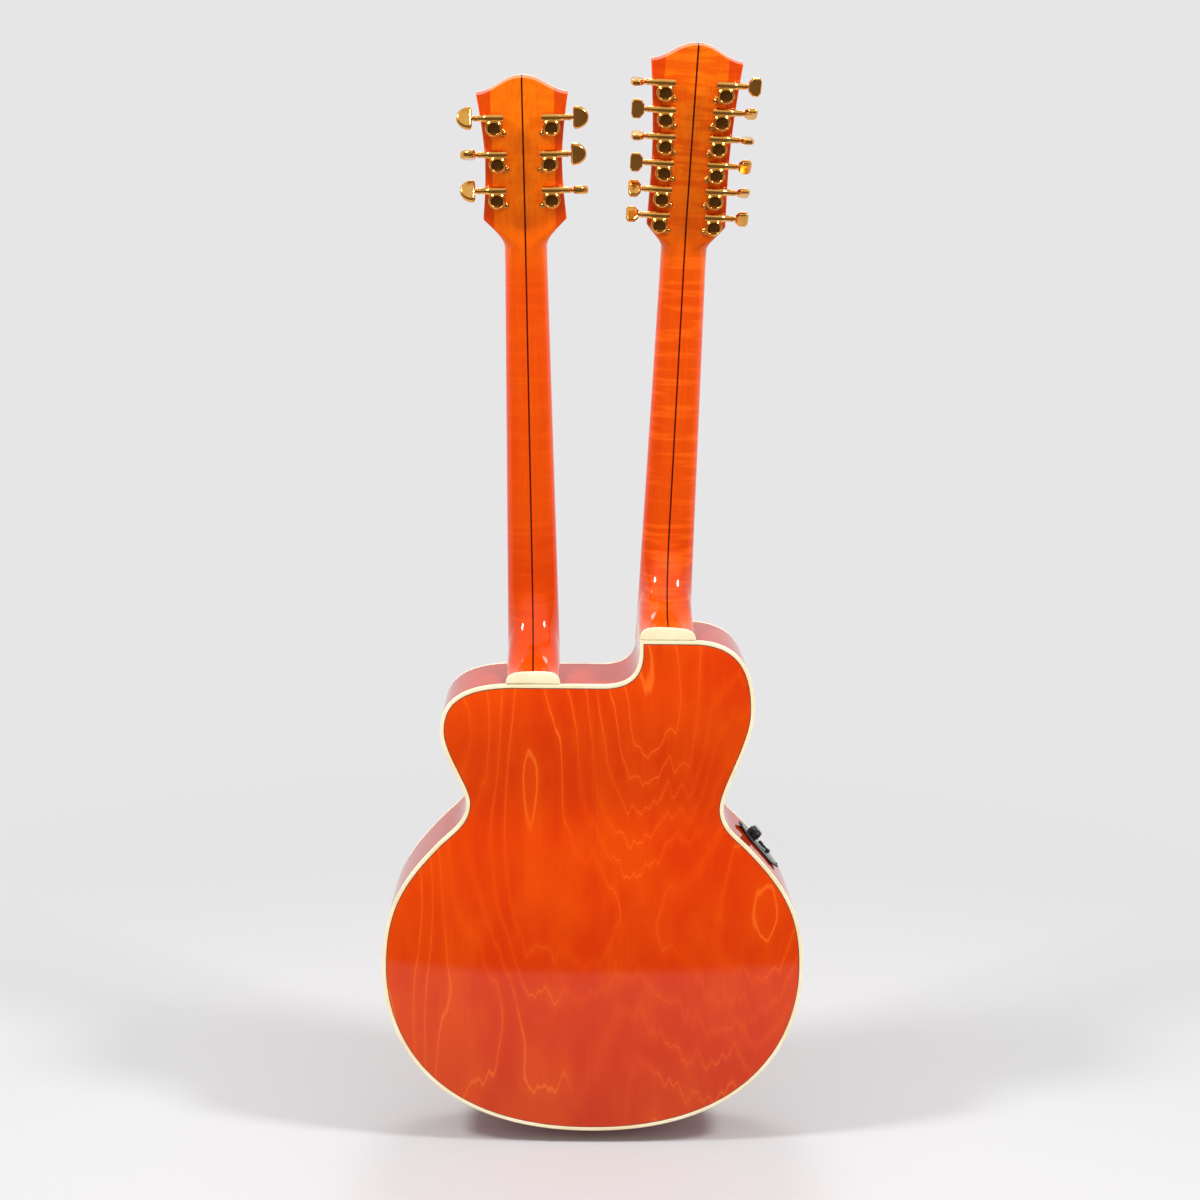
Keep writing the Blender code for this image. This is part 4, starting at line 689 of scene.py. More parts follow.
def heel_drop(spec):
    return (NUT_Z - TAIL_Z - spec.side.shoulder) / math.cos(spec.lean)


def half_width(spec, below):
    return spec.nut + (spec.heel - spec.nut) / heel_drop(spec) * below


def read_off(line, wanted):
    """The height of a line of (place, height) points at a place; places rise along it."""
    for (place, height), (further, other) in zip(line, line[1:]):
        if wanted <= further:
            return lerp(height, other, max(wanted - place, 0.0) / (further - place))
    return line[-1][1]


def head_half(spec, along):
    """Half the headstock's width at a distance from its root."""
    if along > spec.waist:
        share = (along - spec.waist) / (spec.corner - spec.waist)
        return lerp(spec.waist_half, CORNER_HALF, share**1.6)
    if along >= spec.flare:
        share = (spec.waist - along) / (spec.waist - spec.flare)
        return lerp(spec.waist_half, spec.flare_half, share**1.8)
    return read_off([(z, x) for x, z in flare_line(spec)], along)


def flare_line(spec):
    """The headstock's side from its root to its widest flare, as (x, along) points."""
    end = (spec.flare_half, spec.flare)
    first = (spec.nut + 0.0005, 0.35 * spec.flare)
    second = (spec.flare_half - spec.hollow, 0.62 * spec.flare)
    return bezier((spec.nut, -0.001), first, second, end, 24) + [end]


def crest_line(spec, steps):
    """The crest from the corner to its top, as (x, along) points."""
    top = (0.0, spec.corner + CREST)
    first = (0.62 * CORNER_HALF, spec.corner + 0.08 * CREST)
    second = (0.4 * CORNER_HALF, spec.corner + CREST)
    return bezier((CORNER_HALF, spec.corner), first, second, top, steps) + [top]


def crest_at(spec, x):
    return read_off(crest_line(spec, 40)[::-1], abs(x))


def head_outline(spec, shrink=0.0):
    """The headstock's outline from its root round the crest, as (x, along) points."""
    side = [p for p in flare_line(spec)[:-1] if p[1] > 0.0015]
    for share in shares(30)[:-1]:
        along = lerp(spec.flare, spec.corner, share)
        side.append((head_half(spec, along), along))
    right = side + crest_line(spec, 24)
    loop = right + [(-x, along) for x, along in reversed(right[:-1])]
    return inset(shrink, loop) if shrink else loop


SECTION_STEPS = 56
CORNER_WEIGHT = 0.8


def superellipse(steps, power):
    """Half a superellipse, from (1, 0) over (0, 1) to (-1, 0)."""
    points = []
    for share in shares(steps):
        x, y = math.cos(math.pi * share), math.sin(math.pi * share)
        points.append((math.copysign(abs(x) ** (2 / power), x), y ** (2 / power)))
    return points


def section(front, back, half, power):
    """A closed ring: round the back by a superellipse, then straight over the front."""
    front, back = Vector(front), Vector(back)
    dense = [
        front + Vector((half * across, 0, 0)) + (back - front) * down
        for across, down in superellipse(360, power)
    ]
    whole = sum((b - a).length for a, b in zip(dense, dense[1:]))
    marks = [0.0]
    for index in range(1, len(dense)):
        here = dense[index] - dense[index - 1]
        bend = here.angle(dense[index - 1] - dense[index - 2], 0.0) if index > 1 else 0.0
        marks.append(marks[-1] + here.length / whole + CORNER_WEIGHT * bend / math.pi)
    ring, index = [], 0
    for step in range(SECTION_STEPS + 1):
        wanted = marks[-1] * step / SECTION_STEPS
        while index < len(dense) - 2 and marks[index + 1] < wanted:
            index += 1
        share = (wanted - marks[index]) / max(marks[index + 1] - marks[index], 1e-9)
        ring.append(dense[index].lerp(dense[index + 1], min(share, 1.0)))
    return ring + [front + Vector((p.x - front.x, 0, 0)) for p in reversed(ring[1:-1])]


def heel_rings(spec):
    """Rings that fan from the heel's foot up to the level shaft."""
    edge = -heel_drop(spec)
    seat = BODY_DEPTH - HEEL_CAP
    rings = []
    for part in shares(34):
        angle = part * math.pi / 2
        crown_z = edge + HEEL_RISE + HEEL_SWEEP * (1 - math.cos(angle))
        crown_y = lerp(seat, NECK_DEPTH, math.sin(angle))
        foot_y = max(seat * (1 - part / HEEL_TURN), 0.0)
        foot_z = edge - 0.0015
        if foot_y == 0.0:
            foot_z = lerp(edge, crown_z, (part - HEEL_TURN) / (1 - HEEL_TURN))
        power = lerp(HEEL_POWER, NECK_POWER, part)
        rings.append(section((0, foot_y, foot_z), (0, crown_y, crown_z), half_width(spec, -foot_z), power))
    return rings


def head_ring(spec, along, front, depth, power):
    """One ring of the headstock, square to its pitched face."""
    near, far = (TILT @ Vector((0, y, along)) for y in (front, depth))
    return section(near, far, head_half(spec, along), power)


def neck_mesh(spec):
    """The neck from its heel over the shaft and the volute to the headstock's crest."""
    rings = heel_rings(spec)
    start, end = -rings[-1][0].z, 0.012
    for share in shares(14)[1:]:
        below = lerp(start, end, share)
        half = half_width(spec, below)
        rings.append(section((0, 0, -below), (0, NECK_DEPTH, -below), half, NECK_POWER))
    root, top = 0.002, spec.flare + 0.002
    for part in shares(21):
        along = lerp(root, top, part)
        share = min(along / spec.flare, 1.0)
        depth = lerp(ROOT_DEPTH, HEAD_DEPTH, 3 * share**2 - 2 * share**3)
        power = lerp(NECK_POWER, HEAD_POWER, share**2.6)
        cover = OVERLAY * min(max((along - 0.0015) / 0.004, 0.0), 1.0)
        rings.append(head_ring(spec, along, cover, depth, power))
    room = 0.006
    base = spec.corner - room
    for share in shares(24)[1:]:
        rings.append(head_ring(spec, lerp(top, base, share), OVERLAY, HEAD_DEPTH, HEAD_POWER))
    flat = section((0, OVERLAY, 0), (0, HEAD_DEPTH, 0), 1.0, HEAD_POWER)
    for share in shares(8)[1:]:
        half = head_half(spec, base + room * share)
        ring = []
        for p in flat:
            along = lerp(base, crest_at(spec, p.x * CORNER_HALF), share)
            ring.append(TILT @ Vector((p.x * half, p.y, along)))
        rings.append(ring)
    return changed(loft(rings, (True, False)), lambda bm: close_crest(bm, rings[-1]))


def close_crest(bm, ring):
    """Faces over the last ring, in pairs from its back row to its front row."""
    crest = [min(bm.verts, key=lambda vertex: (vertex.co - p).length) for p in ring]
    back = crest[1:SECTION_STEPS]
    front = crest[:SECTION_STEPS:-1]
    for corners in zip(back, back[1:], front[1:], front):
        try_face(bm, corners)
    try_face(bm, (crest[0], back[0], front[0]))
    try_face(bm, (crest[SECTION_STEPS], front[-1], back[-1]))


def try_face(bm, corners):
    unique = list(dict.fromkeys(corners))
    if len(unique) > 2 and not bm.faces.get(unique):
        bm.faces.new(unique)


def make_neck(label, spec):
    at = neck_frame(spec)
    piece(
        f"neck_{label}", neck_mesh(spec), at, "orange_lacquer", f"neck_{label}_string",
        finish=NECK_LOOK[label], angle=38,
    )
    head = at @ TILT
    lying = move(0, OVERLAY / 2, 0)
    bound = slab([head_outline(spec), head_outline(spec, 0.0016)], OVERLAY, 0.0003)
    face = slab([head_outline(spec, 0.0016)], OVERLAY - 0.0001, 0.0001, 1)
    plate = joined([(bound, lying, CREAM), (face, lying, GLOSS_BLACK)])
    piece(f"head_overlay_{label}", plate, head, "black_plastic")
    bell = mm(-8, 0, 8, 0, 9.5, 8, 7.5, 18, 4.5, 27)
    bell += [(0.0032 * math.cos(a), 0.034 + 0.0032 * math.sin(a)) for a in (0.3, 1.0, 1.57, 2.14, 2.84)]
    bell += mm(-4.5, 27, -7.5, 18, -9.5, 8)
    cover = [(slab([bell], 0.0012, 0.0002), BLACK)]
    for along in (0.005, 0.031):
        cover.append((screw_head(0.0017), move(0, -0.0006, along) @ STANDING, GOLD))
    piece(f"truss_cover_{label}", joined(cover), head @ move(0, -0.0006, 0.009), "black_plastic")
    for make in (make_heel_cap, make_board, make_nut, make_bridge, make_strings):
        make(label, spec, at)


def screw_head(radius):
    """A domed screw head with a raised cross, its face along local Z; it gets its finish when joined."""
    dome = [(radius * x, radius * z) for x, z in ((1.0, 0.0), (0.9, 0.18), (0.55, 0.38), (0.0, 0.45))]
    parts = [(turned(dome, 20), None)]
    for x, y in ((0.62, 0.1), (0.1, 0.62)):
        bar = box((-radius * x, -radius * y, radius * 0.36), (radius * x, radius * y, radius * 0.47))
        parts.append((bar, None))
    return joined(parts)


def make_heel_cap(label, spec, at):
    edge = -heel_drop(spec)
    half = half_width(spec, -edge)
    line = TAIL_Z + spec.side.shoulder + GAP
    loop = []
    for across, rise in superellipse(48, HEEL_POWER):
        spot = at @ Vector((half * across, 0.0, edge - 0.002 + (HEEL_RISE + 0.002) * rise))
        if spot.z > line:
            loop.append((spot.x, spot.z))
    loop = [(loop[0][0], line)] + loop + [(loop[-1][0], line)]
    mesh = slab([loop], HEEL_CAP, 0.0011, 4)
    seat = move(0, BACK_Y - HEEL_CAP / 2, 0)
    piece(f"heel_plate_{label}", mesh, seat, "cream_binding", f"heel_cap_{label}", finish=CREAM)


def fret_at(number):
    return -SCALE * (1 - 2 ** (-number / 12))


def arched(half, z, steps, lift=0.0):
    """Points across the board's arched face."""
    sides = [2 * share - 1 for share in shares(steps)]
    return [(half * side, BOARD_TOP + lift + BOARD_ARCH * side**2, z) for side in sides]


def make_board(label, spec, at):
    """The arched board with bound sides, frets and dot inlays."""
    ends = (-GAP, fret_at(spec.frets) - 0.006)
    rings = []
    for z in ends:
        half = half_width(spec, -z) - 0.00132
        rings.append([(half, -GAP, z), (-half, -GAP, z)] + arched(half, z, 14))
    parts = [(loft(rings), ROSEWOOD)]
    rim = BOARD_TOP + BOARD_ARCH
    edge = ((0.0, -GAP), (0.0, rim + 0.0004), (0.0003, rim + 0.0001), (0.0013, rim), (0.0013, -GAP))
    for sign in (-1, 1):
        rings = [[(sign * (half_width(spec, -z) - inside), y, z) for inside, y in edge] for z in ends]
        parts.append((loft(rings), CREAM))
    piece(f"board_{label}", joined(parts), at, "rosewood", f"fingerboard_{label}")
    wires = []
    for number in range(1, spec.frets + 1):
        z = fret_at(number)
        wires.append((arched(half_width(spec, -z) - 0.0009, z, 8, 0.0001), 0.001))
    piece(f"frets_{label}", tube(wires, 3), at, "string_wire", finish=FRET)
    dot = turned(mm(0, 0.4, 2.6, 0.4, 2.8, 0), 28)
    dots = []
    for number in (3, 5, 7, 9, 12, 15, 17, 19):
        z = (fret_at(number) + fret_at(number - 1)) / 2
        for x in (-0.009, 0.009) if number == 12 else (0.0,):
            y = BOARD_TOP + 0.0002 + BOARD_ARCH * (x / 0.025) ** 2
            dots.append((dot, move(x, y, z) @ STANDING, PEARL))
    piece(f"inlays_{label}", joined(dots), at, "bone")


def make_nut(label, spec, at):
    half = spec.nut
    high = -GAP - NUT_RISE
    top = [(-half, 0.0)]
    for x in sorted(string[0] for string in strings_of(spec)):
        top += [(x - 0.0005, 0.0), (x - 0.0002, 0.0007), (x + 0.0002, 0.0007), (x + 0.0005, 0.0)]
    top.append((half, 0.0))
    rings = []
    for z, drop in ((0.0, 0.0012), (0.0006, 0.0002), (0.0025, 0.0), (NUT_LENGTH - GAP, 0.0011)):
        foot = [(half, -GAP, z), (-half, -GAP, z)]
        rings.append(foot + [(x, high + drop + groove, z) for x, groove in top])
    piece(f"slotted_nut_{label}", loft(rings), at, "bone", f"nut_{label}", finish=BONE)


def strings_of(spec):
    """(x at nut, x at saddle, side, tuner number, radius) of every string."""
    count = spec.strings
    found = []
    for course in range(6):
        share = 2 * course / 5 - 1
        for place, offset in enumerate((0.0,) if count == 6 else (-0.5, 0.5)):
            index = len(found)
            side, number = (-1, index + 1) if index < count // 2 else (1, count - index)
            radius = (OCTAVES if place else GAUGES)[course]
            shift = offset * spec.pair
            at_nut, at_saddle = (share * reach + shift for reach in (spec.nut_spread, spec.saddle_spread))
            found.append((at_nut, at_saddle, side, number, radius))
    return found


def pin_line(spec, at_saddle):
    """The height of a string's pin; the second string of a pair is pinned further down."""
    saddles = [string[1] for string in strings_of(spec)]
    second = spec.strings == 12 and saddles.index(at_saddle) % 2 == 1
    return -SCALE - 0.0085 - (0.0045 if second else 0.0)


def make_bridge(label, spec, at):
    half = 0.052
    top = -SCALE + 0.0105
    bottom, wing, corner = top - 0.03, top - 0.013, 0.006
    right = bezier((0.0, bottom), (0.5 * half, bottom), (0.5 * half, wing), (half - corner, wing), 24)
    for height, start in ((wing + corner / 2, -90), (top - corner / 2, 0)):
        right += arc(half - corner, height, corner, corner / 2, start, start + 90, 6)
    outline = right + [(-x, z) for x, z in reversed(right[1:])]
    wood = slab([outline], BRIDGE_DEPTH, 0.0022, 4)
    saddle = box((-0.036, -0.0033, -0.0015), (0.036, 0.0033, 0.0015), 0.0009)
    parts = [
        (wood, move(0, -GAP - BRIDGE_DEPTH / 2, 0), ROSEWOOD),
        (saddle, move(0, -GAP - BRIDGE_DEPTH - 0.0001, -SCALE), BONE),
    ]
    pin = turned(soften(mm(0, 2.2, 1.6, 2.1, 2.4, 0.8, 1.7, 0, 1.6, -2), 0.0004), 18)
    dot = turned(mm(0, 2.35, 0.7, 2.1, 0.7, 0), 12)
    for _, x, _, _, _ in strings_of(spec):
        seat = move(x, -GAP - BRIDGE_DEPTH, pin_line(spec, x)) @ STANDING
        parts += [(pin, seat, BONE), (dot, seat, BLACK)]
    piece(f"belly_bridge_{label}", joined(parts), at, "rosewood", f"bridge_{label}")


def tuner_places(spec):
    """(side, number from the nut, x, along) of every tuner."""
    places = []
    for side in (-1, 1):
        for row in range(spec.rows):
            along = spec.first + row * spec.step
            places.append((side, row + 1, side * (head_half(spec, along) - 0.0125), along))
    return places


def make_strings(label, spec, at):
    """Every string from its pin over saddle and nut, with its turns round the post."""
    posts = {(side, number): (x, along) for side, number, x, along in tuner_places(spec)}
    wires = {BRONZE: [], STEEL: []}
    face = -GAP - BRIDGE_DEPTH
    for at_nut, at_saddle, side, number, radius in strings_of(spec):
        x, along = posts[side, number]
        over_nut = -(GAP + NUT_RISE + radius * 0.4)
        over_saddle = face - 0.0034 - radius
        row = pin_line(spec, at_saddle)
        points = [
            (at_saddle, face + 0.001, row + 0.0018),
            (at_saddle, face - 0.0006, row + 0.0026),
            (at_saddle, over_saddle + 0.0003, -SCALE - 0.0012),
            (at_saddle, over_saddle, -SCALE),
            (at_nut, over_nut, 0.0006),
            (at_nut, over_nut, 0.003),
        ]
        wrap = 0.003 + radius
        start = math.atan2(along, x - at_nut) + side * math.pi / 2
        turns = 3 if radius < 0.0004 else 2
        steps = 14 * turns
        for step in range(steps + 1):
            angle = start - side * math.tau * turns * step / steps
            height = -0.0085 + radius * 2.1 * turns * step / steps
            spot = Vector((x + wrap * math.cos(angle), height, along + wrap * math.sin(angle)))
            points.append(TILT @ spot)
        wires[BRONZE if radius > 0.00024 else STEEL].append((points, radius))
    parts = [(tube(paths), finish) for finish, paths in wires.items()]
    piece(f"string_set_{label}", joined(parts), at, "string_wire", f"strings_{label}")


# Tuners


def shifted(height, *values):
    """A profile in millimetres, raised by a height in metres."""
    return [(radius, height + z) for radius, z in mm(*values)]


def gearbox(side):
    """Round gearbox with its cap in a darker gold as painted shade, worm barrel, screw ear, bushing and
    string post.
    """
    case = mm(5.8, 8.4, 5.9, 10.2, 6.3, 10.7, 6.8, 10.5, 7.1, 9.7, 7.7, 9.6, 8.5, 8.8, 8.7, 7.6, 8.7, 1.2)
    case += [(0.0084, GAP), (0.0, GAP)]
    cap = mm(0, 9.1, 3, 9.1, 5.2, 8.9, 5.9, 8.4)
    barrel = mm(
        0, -9.5, 3.8, -9.5, 4.3, -9.2, 4.5, -8.6, 4.5, -8.1, 4, -7.9, 4, -7.5, 4.4, -7.3, 4.4, 7.6,
        4.2, 8.4, 3.4, 9.6, 2.8, 16, 2.8, 16.8, 3.2, 17, 3.2, 17.8, 2.8, 18.1, 2.5, 18.5, 1.3, 18.5,
    )
    post = [(0.0, GAP), (0.0044, GAP)] + shifted(
        -HEAD_DEPTH - GAP,
        4.4, 0.1, 7.0, 0, 6.6, -0.8, 5.2, -2.1, 3.3, -2.2, 3.0, -3.0, 2.6, -7.5, 2.7, -12.0, 3.0, -14.5,
        3.1, -17.2, 2.4, -17.7, 0, -17.7,
    )
    reach = 0.0108
    ear = mm(0, -4, 0, 4) + arc(reach, 0.0, 0.0032, 0.0032, 90, -90, 12)
    tilt = spin(-217.6 if side > 0 else 37.6, "Y")
    back = spin(-90, "X")
    return joined(
        [
            (turned(soften(case, 0.0003)), back, GOLD),
            (turned(cap), back, MIRROR),
            (turned(barrel, 28), move(*WORM_AXIS) @ spin(90 * side, "Y"), GOLD),
            (turned(post, 24), back, GOLD),
            (slab([ear[::-1]], 0.003, 0.0005), move(0.0, GAP + 0.0015, 0.0) @ tilt, GOLD),
            (box((-0.0062, 0.0006, 0.003), (0.0062, 0.0066, 0.0092), 0.0008), GOLD),
            (screw_head(0.0022), tilt @ move(reach, 0.0031, 0.0) @ back, GOLD),
        ]
    )


def grip(outline, thickness):
    """A pillowed button with its collar and worm shaft, pointing along local X."""
    stem = mm(0, 11.2, 1.2, 11.2, 1.2, 18.7, 2.7, 18.8, 2.8, 19.9, 2, 20.3, 1.8, 23.2, 0, 23.2)
    button = slab([outline], thickness, thickness * 0.36, 5)
    return joined([(button, GOLD), (turned(stem, 24), spin(90, "Y"), GOLD)])


def moon():
    """The six-string side's half-round button."""
    half, face, length, edge = 0.01125, 0.0212, 0.0152, 0.002
    points = [(face + 0.0003, half - 0.0022), (face, half - 0.0032)]
    points += [(x, -z) for x, z in reversed(points)]
    return points + arc(face + edge, 0.0, length - edge, half, -90, 90, 30)


def keystone():
    """The twelve-string side's eight-cornered button."""
    half, near, length = 0.0093, 0.0212, 0.0126
    corners = [(0.0, -0.46), (0.31, -1.0), (0.84, -1.0), (1.0, -0.62)]
    corners += [(x, -z) for x, z in reversed(corners)]
    corners = [Vector((near + x * length, z * half)) for x, z in corners]
    points = []
    for before, here, after in zip(corners[-1:] + corners, corners, corners[1:] + corners[:1]):
        bend = rounded(here.lerp(before, 0.08), here, here.lerp(after, 0.08), 4)
        points += [tuple(spot) for spot in bend]
    return points


REST_TURNS = {
    "6": {-1: (75, 8, 0), 1: (40, 113, 35)},
    "12": {-1: (35, 60, 40, 85, 55, 10), 1: (60, 50, 0, 88, 5, 90)},
}


def make_tuners(label, spec, boxes, button):
    head = neck_frame(spec) @ TILT
    for side, number, x, along in tuner_places(spec):
        tag = f"{label}_{'treble' if side > 0 else 'bass'}_{number}"
        seat = head @ move(x, HEAD_DEPTH, along)
        piece(f"gearbox_{tag}", boxes[side], seat, "gold_plate", f"tuner_housing_{tag}")
        axis = seat @ move(*WORM_AXIS) @ spin(0 if side > 0 else 180, "Z")
        turn = spin(REST_TURNS[label][side][number - 1], "X")
        node = f"tuner_button_{tag}"
        piece(f"grip_{tag}", button, axis @ turn, "gold_plate", node, body=node)


# Fittings


def make_end_fittings():
    pin = mm(
        0, 0, 6, 0.2, 7.5, 1.4, 7.4, 3, 4.8, 5, 4.4, 8.5, 5, 10.8, 6.2, 12.2, 4.4, 12.3, 4.4, 33,
        0, 33,
    )
    washer = mm(4.4, 12.2, 6.8, 12.2, 7, 13, 6.9, 13.7, 4.4, 13.7)
    parts = [(turned(soften(pin, 0.0006), 40), GOLD), (turned(washer, 40), FELT)]
    piece("strap_pin", joined(parts), Matrix(), "gold_plate", "end_pin")
    low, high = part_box("output_jack")
    face, end = low.z, high.z
    flange = shifted(face, 3.4, 10, 3.4, 0, 10.5, 0, 11, 1.2, 11, 2.6, 5.5, 2.7)
    flange = soften(flange + [(0.0055, end), (0.0, end)], 0.0004)
    parts = [
        (turned(flange, 40), BLACK),
        (turned(shifted(face, 3.6, 0, 6.2, 0, 6.2, 1, 3.6, 1), 6), CHROME),
        (turned(shifted(face, 0, 10, 3.4, 10), 24), FELT),
    ]
    piece("jack", joined(parts), move(-0.045, 0, 0), "black_plastic", "output_jack")


def make_guard():
    """A plain teardrop guard that follows the rosette and widens below it, under the six strings."""
    reach = HOLE_RADIUS + 0.0145
    inner = arc(HOLE_X, HOLE_Z, reach, reach, 28, -62, 20)
    tip, foot = inner[0], inner[-1]
    low = (foot[0] + 0.03, foot[1] - 0.022)
    outer = bezier(foot, (foot[0] + 0.001, foot[1] - 0.012), (low[0] - 0.016, low[1]), low, 16)
    side = (low[0] + 0.036, low[1] + 0.042)
    outer += bezier(low, (low[0] + 0.02, low[1]), (side[0], side[1] - 0.02), side, 16)
    outer += bezier(side, (side[0], side[1] + 0.026), (tip[0] + 0.016, tip[1] - 0.012), tip, 16)
    guard = slab([inner + outer[1:]], 0.0009, 0.0003)
    piece("guard", guard, move(0, FRONT_Y - 0.00035, 0), "black_plastic", finish=GUARD)


def preamp_at():
    """The panel's frame on the side: X down the side, Y to the front, Z outwards."""
    knob = next(j for j in frame["joints"] if j["child"] == "volume_knob")
    outward = Vector(knob["axis"]).normalized()
    across = Vector((0.0, -1.0, 0.0))
    down = across.cross(outward).normalized()
    spot = Vector(knob["pos_m"]) - down * KNOB_X - outward * 0.002
    turn = Matrix((down, across, outward)).transposed().to_4x4()
    return Matrix.Translation(spot) @ turn


def rectangle(x, y):
    return [(-x, -y), (x, -y), (x, y), (-x, y)]


def make_preamp(rim):
    at = preamp_at()
    face = at @ move(0, 0, PANEL)
    hexagon = mm(-31.5, -3.5, -17, -22, 17, -22, 31.5, -3.5, 31.5, 3.5, 17, 22, -17, 22, -31.5, 3.5)
    plate = slab([hexagon], PANEL - 0.0002, 0.0005, upright=False)
    inlay = slab([inset(0.0011, hexagon)], 0.0004, 0.0001, 1, False)
    walls = slab([rectangle(0.021, 0.015), rectangle(0.019, 0.013)], 0.016, upright=False)
    ring = turned(mm(3.4, 0, 3.4, 2, 3.8, 2.3, 4.8, 2.2, 5.4, 1.8, 5.6, 1.2, 5.6, 0), 36)
    parts = [
        (plate, move(0, 0, PANEL / 2 - 0.0001), SATIN_BLACK),
        (inlay, move(0, 0, PANEL - 0.0002), PANEL_BLACK),
        (walls, move(0, 0, -0.0075), BLACK),
        (ring, move(LEVER_X, 0, 0), CHROME),
    ]
    for x in (-0.0285, 0.0285):
        parts.append((screw_head(0.0019), move(x, 0, PANEL), BLACK))
    piece("preamp_plate", joined(parts), at, "black_plastic", "preamp_panel")
    cut(rim, box((-0.0216, -0.0156, -0.018), (0.0216, 0.0156, 0.018)), at)
    make_knob(face @ move(KNOB_X, 0, 0))
    outline = mm(-2.6, -1.5, -1.8, -2.4, 0, -2.7, 6, -1.8, 11.8, -1.2, 12.9, -0.6)
    outline += [(0.013, 0.0)] + [(x, -y) for x, y in reversed(outline)]
    lever = slab([outline], 0.0022, 0.0007, upright=False)
    hub = turned(mm(0, 3.6, 1.8, 3.5, 2.6, 3.2, 2.9, 2.6, 2.9, 0.5, 1.6, 0.5, 1.6, -6, 0, -6), 28)
    switch = joined([(lever, move(0, 0, 0.002), SATIN_BLACK), (hub, SATIN_BLACK)])
    make_control("selector_lever", switch, face @ move(LEVER_X, 0, 0), "neck_selector")
    cap = mm(0, 2.8, 2, 2.8, 2.2, 2.2, 2.2, -2.3, 3.4, -2.3, 3.4, -3.5, 2.2, -3.5, 2.2, -6, 0, -6)
    button = joined([(turned(soften(cap, 0.0003), 28), BLACK)])
    make_control("push_button", button, face @ move(0.0145, 0.0085, 0), "preamp_button")


def make_control(name, mesh, seat, node):
    piece(name, mesh, seat, "black_plastic", node, body=node)


def make_knob(seat):
    """The ribbed volume knob with its pointer and shaft."""
    count = 80
    rings = []
    for radius, height in mm(7, 0.5, 7.2, 1.2, 7.1, 6.4, 6.4, 7.2, 6, 8.8, 5.5, 9.5):
        depth = 0.0007 if height < 0.008 else 0.0002
        ring = []
        for step in range(count):
            angle = math.tau * step / count
            reach = radius - depth * (1.0, 0.4, 0.0, 0.4)[step % 4]
            ring.append((reach * math.cos(angle), reach * math.sin(angle), height))
        rings.append(ring)
    pointer = box((0.001, -0.0003, 0.0094), (0.0054, 0.0003, 0.0097))
    shaft = turned(mm(0, -6, 2, -6, 2, 1, 0, 1), 20)
    knob = joined([(loft(rings), BLACK), (pointer, CREAM), (shaft, CHROME)])
    make_control("knob", knob, seat, "volume_knob")


RIM_PIECE = make_body()
BOXES = {side: gearbox(side) for side in (-1, 1)}
BUTTONS = {"6": grip(moon(), 0.008), "12": grip(keystone(), 0.0056)}
for label, spec in NECKS.items():
    make_neck(label, spec)
    make_tuners(label, spec, BOXES, BUTTONS[label])
make_end_fittings()
make_guard()
make_preamp(RIM_PIECE)
INNER_FRAME = frame["nodes"]["inner_frame"].data
INNER_FRAME.materials.clear()
INNER_FRAME.materials.append(INNER)


# Stage

PALE = (0.8, 0.79, 0.8)
DIM = (0.17, 0.14, 0.12)


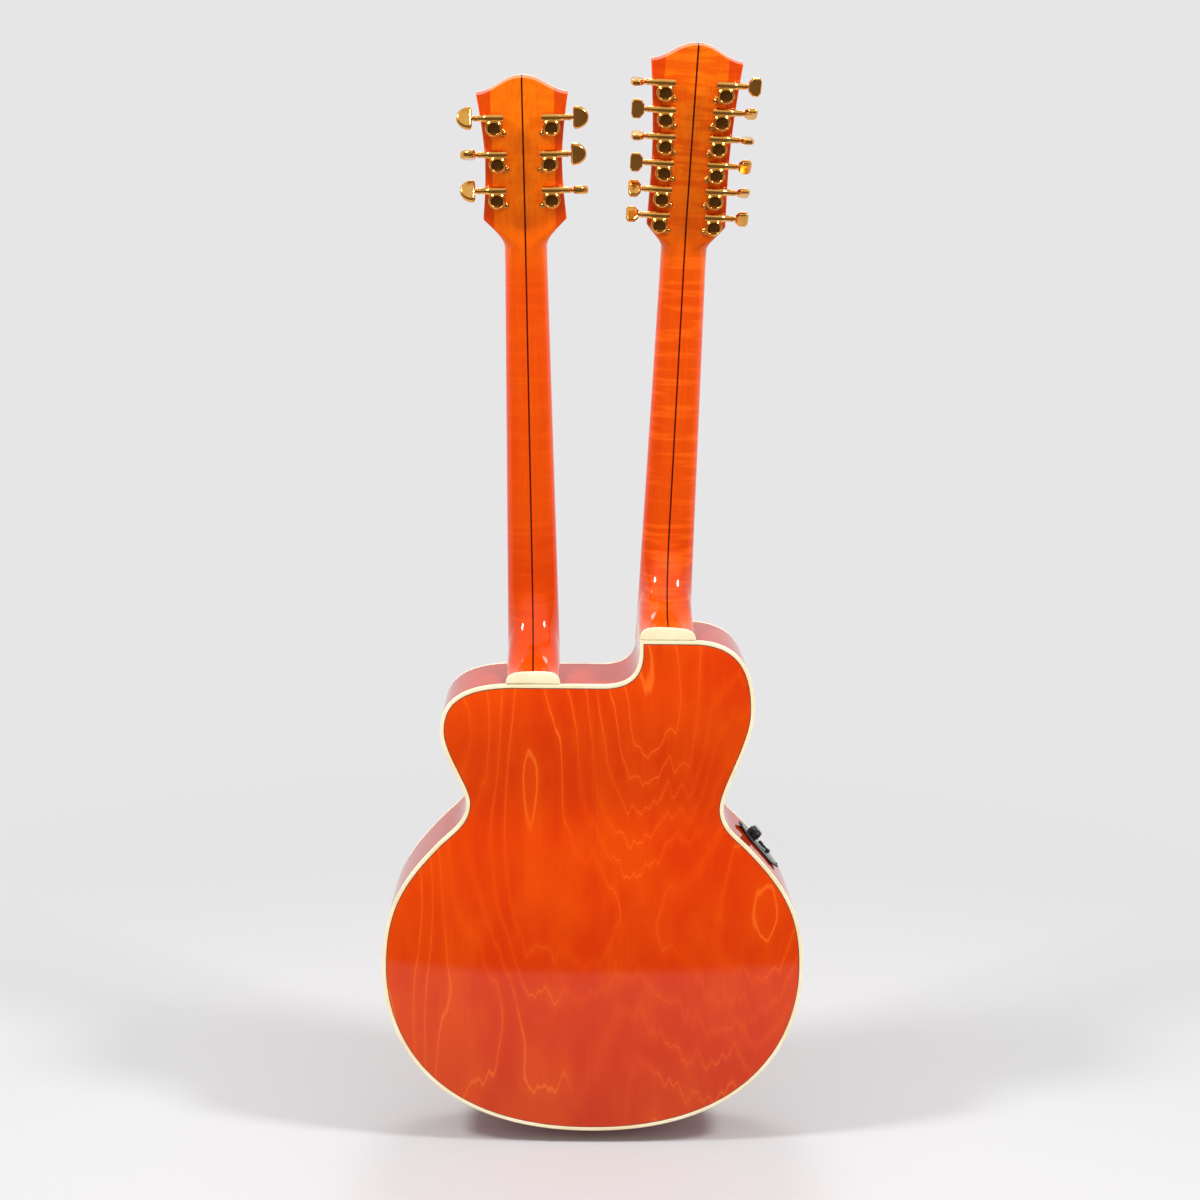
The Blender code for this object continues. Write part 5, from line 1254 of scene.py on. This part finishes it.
def make_floor():
    """A pale floor that fades into the background away from the guitar and keeps its shadow."""
    look = Look("pale floor", (0.53, 0.525, 0.53), Roughness=0.7)
    look.lay((0.56, 0.555, 0.56), look.noise((1.5, 1.5, 1.5)))
    look.finish()
    at = look.place()
    reach = look.add("VectorMath", {0: at}, operation="LENGTH").outputs["Value"]
    behind = look.times(look.span(look.across(at, 1), 0.46, 0.56), look.mirrored())
    share = look.sum("MAXIMUM", look.times(look.span(reach, 0.45, 1.5), look.seen()), behind)
    glow = look.add("Emission", {"Color": look.mix(behind, PALE, DIM), "Strength": 1.0}).outputs[0]
    mixed = look.add("MixShader", {0: share, 1: look.shader.outputs[0], 2: glow}).outputs[0]
    look.put(look.tree.nodes["Material Output"], {"Surface": mixed})
    mesh = slab([circle(0.0, 0.0, 4.0)], 0.02, upright=False)
    mesh.materials.append(look.made)
    floor = placed("floor", mesh, move(0.0, 0.0, cad_low.z - 0.0105))


def make_world():
    """A pale studio, dim behind the photographer for mirrored rays and brighter there for soft light."""
    world = bpy.data.worlds.new("studio")
    bpy.context.scene.world = world
    world.use_nodes = True
    sky = Nodes(world.node_tree)
    heading = sky.add("TexCoord").outputs["Generated"]
    towards = sky.span(sky.across(heading, 1), -0.2, 0.32)
    low = {"Value": sky.across(heading, 2), "From_Min": 0.55, "From_Max": 0.2}
    below = sky.add("MapRange", low).outputs[0]
    behind = sky.times(below, sky.times(towards, sky.mirrored()))
    ambient = sky.mix(towards, (0.5, 0.5, 0.51), (0.76, 0.76, 0.76))
    colour = sky.mix(sky.seen(), ambient, sky.mix(behind, PALE, DIM))
    sky.put(sky.tree.nodes["Background"], {"Color": colour})


def make_light(name, spot, power, size):
    data = bpy.data.lights.new(name, "AREA")
    data.shape = "DISK"
    data.size = size
    data.energy = power
    aim = Vector((0.0, 0.0, 0.45)) - Vector(spot)
    placed(name, data, move(*spot) @ aim.to_track_quat("-Z", "Y").to_matrix().to_4x4())


make_floor()
make_world()
make_light("left soft light", (1.45, 0.7, 2.15), 38.0, 0.42)
make_light("right soft light", (-1.45, 0.7, 2.15), 38.0, 0.42)
make_light("front fill", (0.0, -1.7, 3.0), 26.0, 1.2)

lens = bpy.data.cameras.new("camera")
lens.sensor_width = 36.0
lens.lens = 62.73
right = Vector((-0.99978926, 0.01619017, 0.01262187))
up = Vector((0.00921696, -0.19537031, 0.98068623))
forward = Vector((-0.01834342, -0.9805959, -0.19517992))
view = Matrix((right, up, -forward)).transposed().to_4x4()
view.translation = (0.03566, 2.08074, 0.98283)
bpy.context.scene.camera = placed("camera", lens, view)
bpy.context.scene.view_settings.view_transform = "Standard"
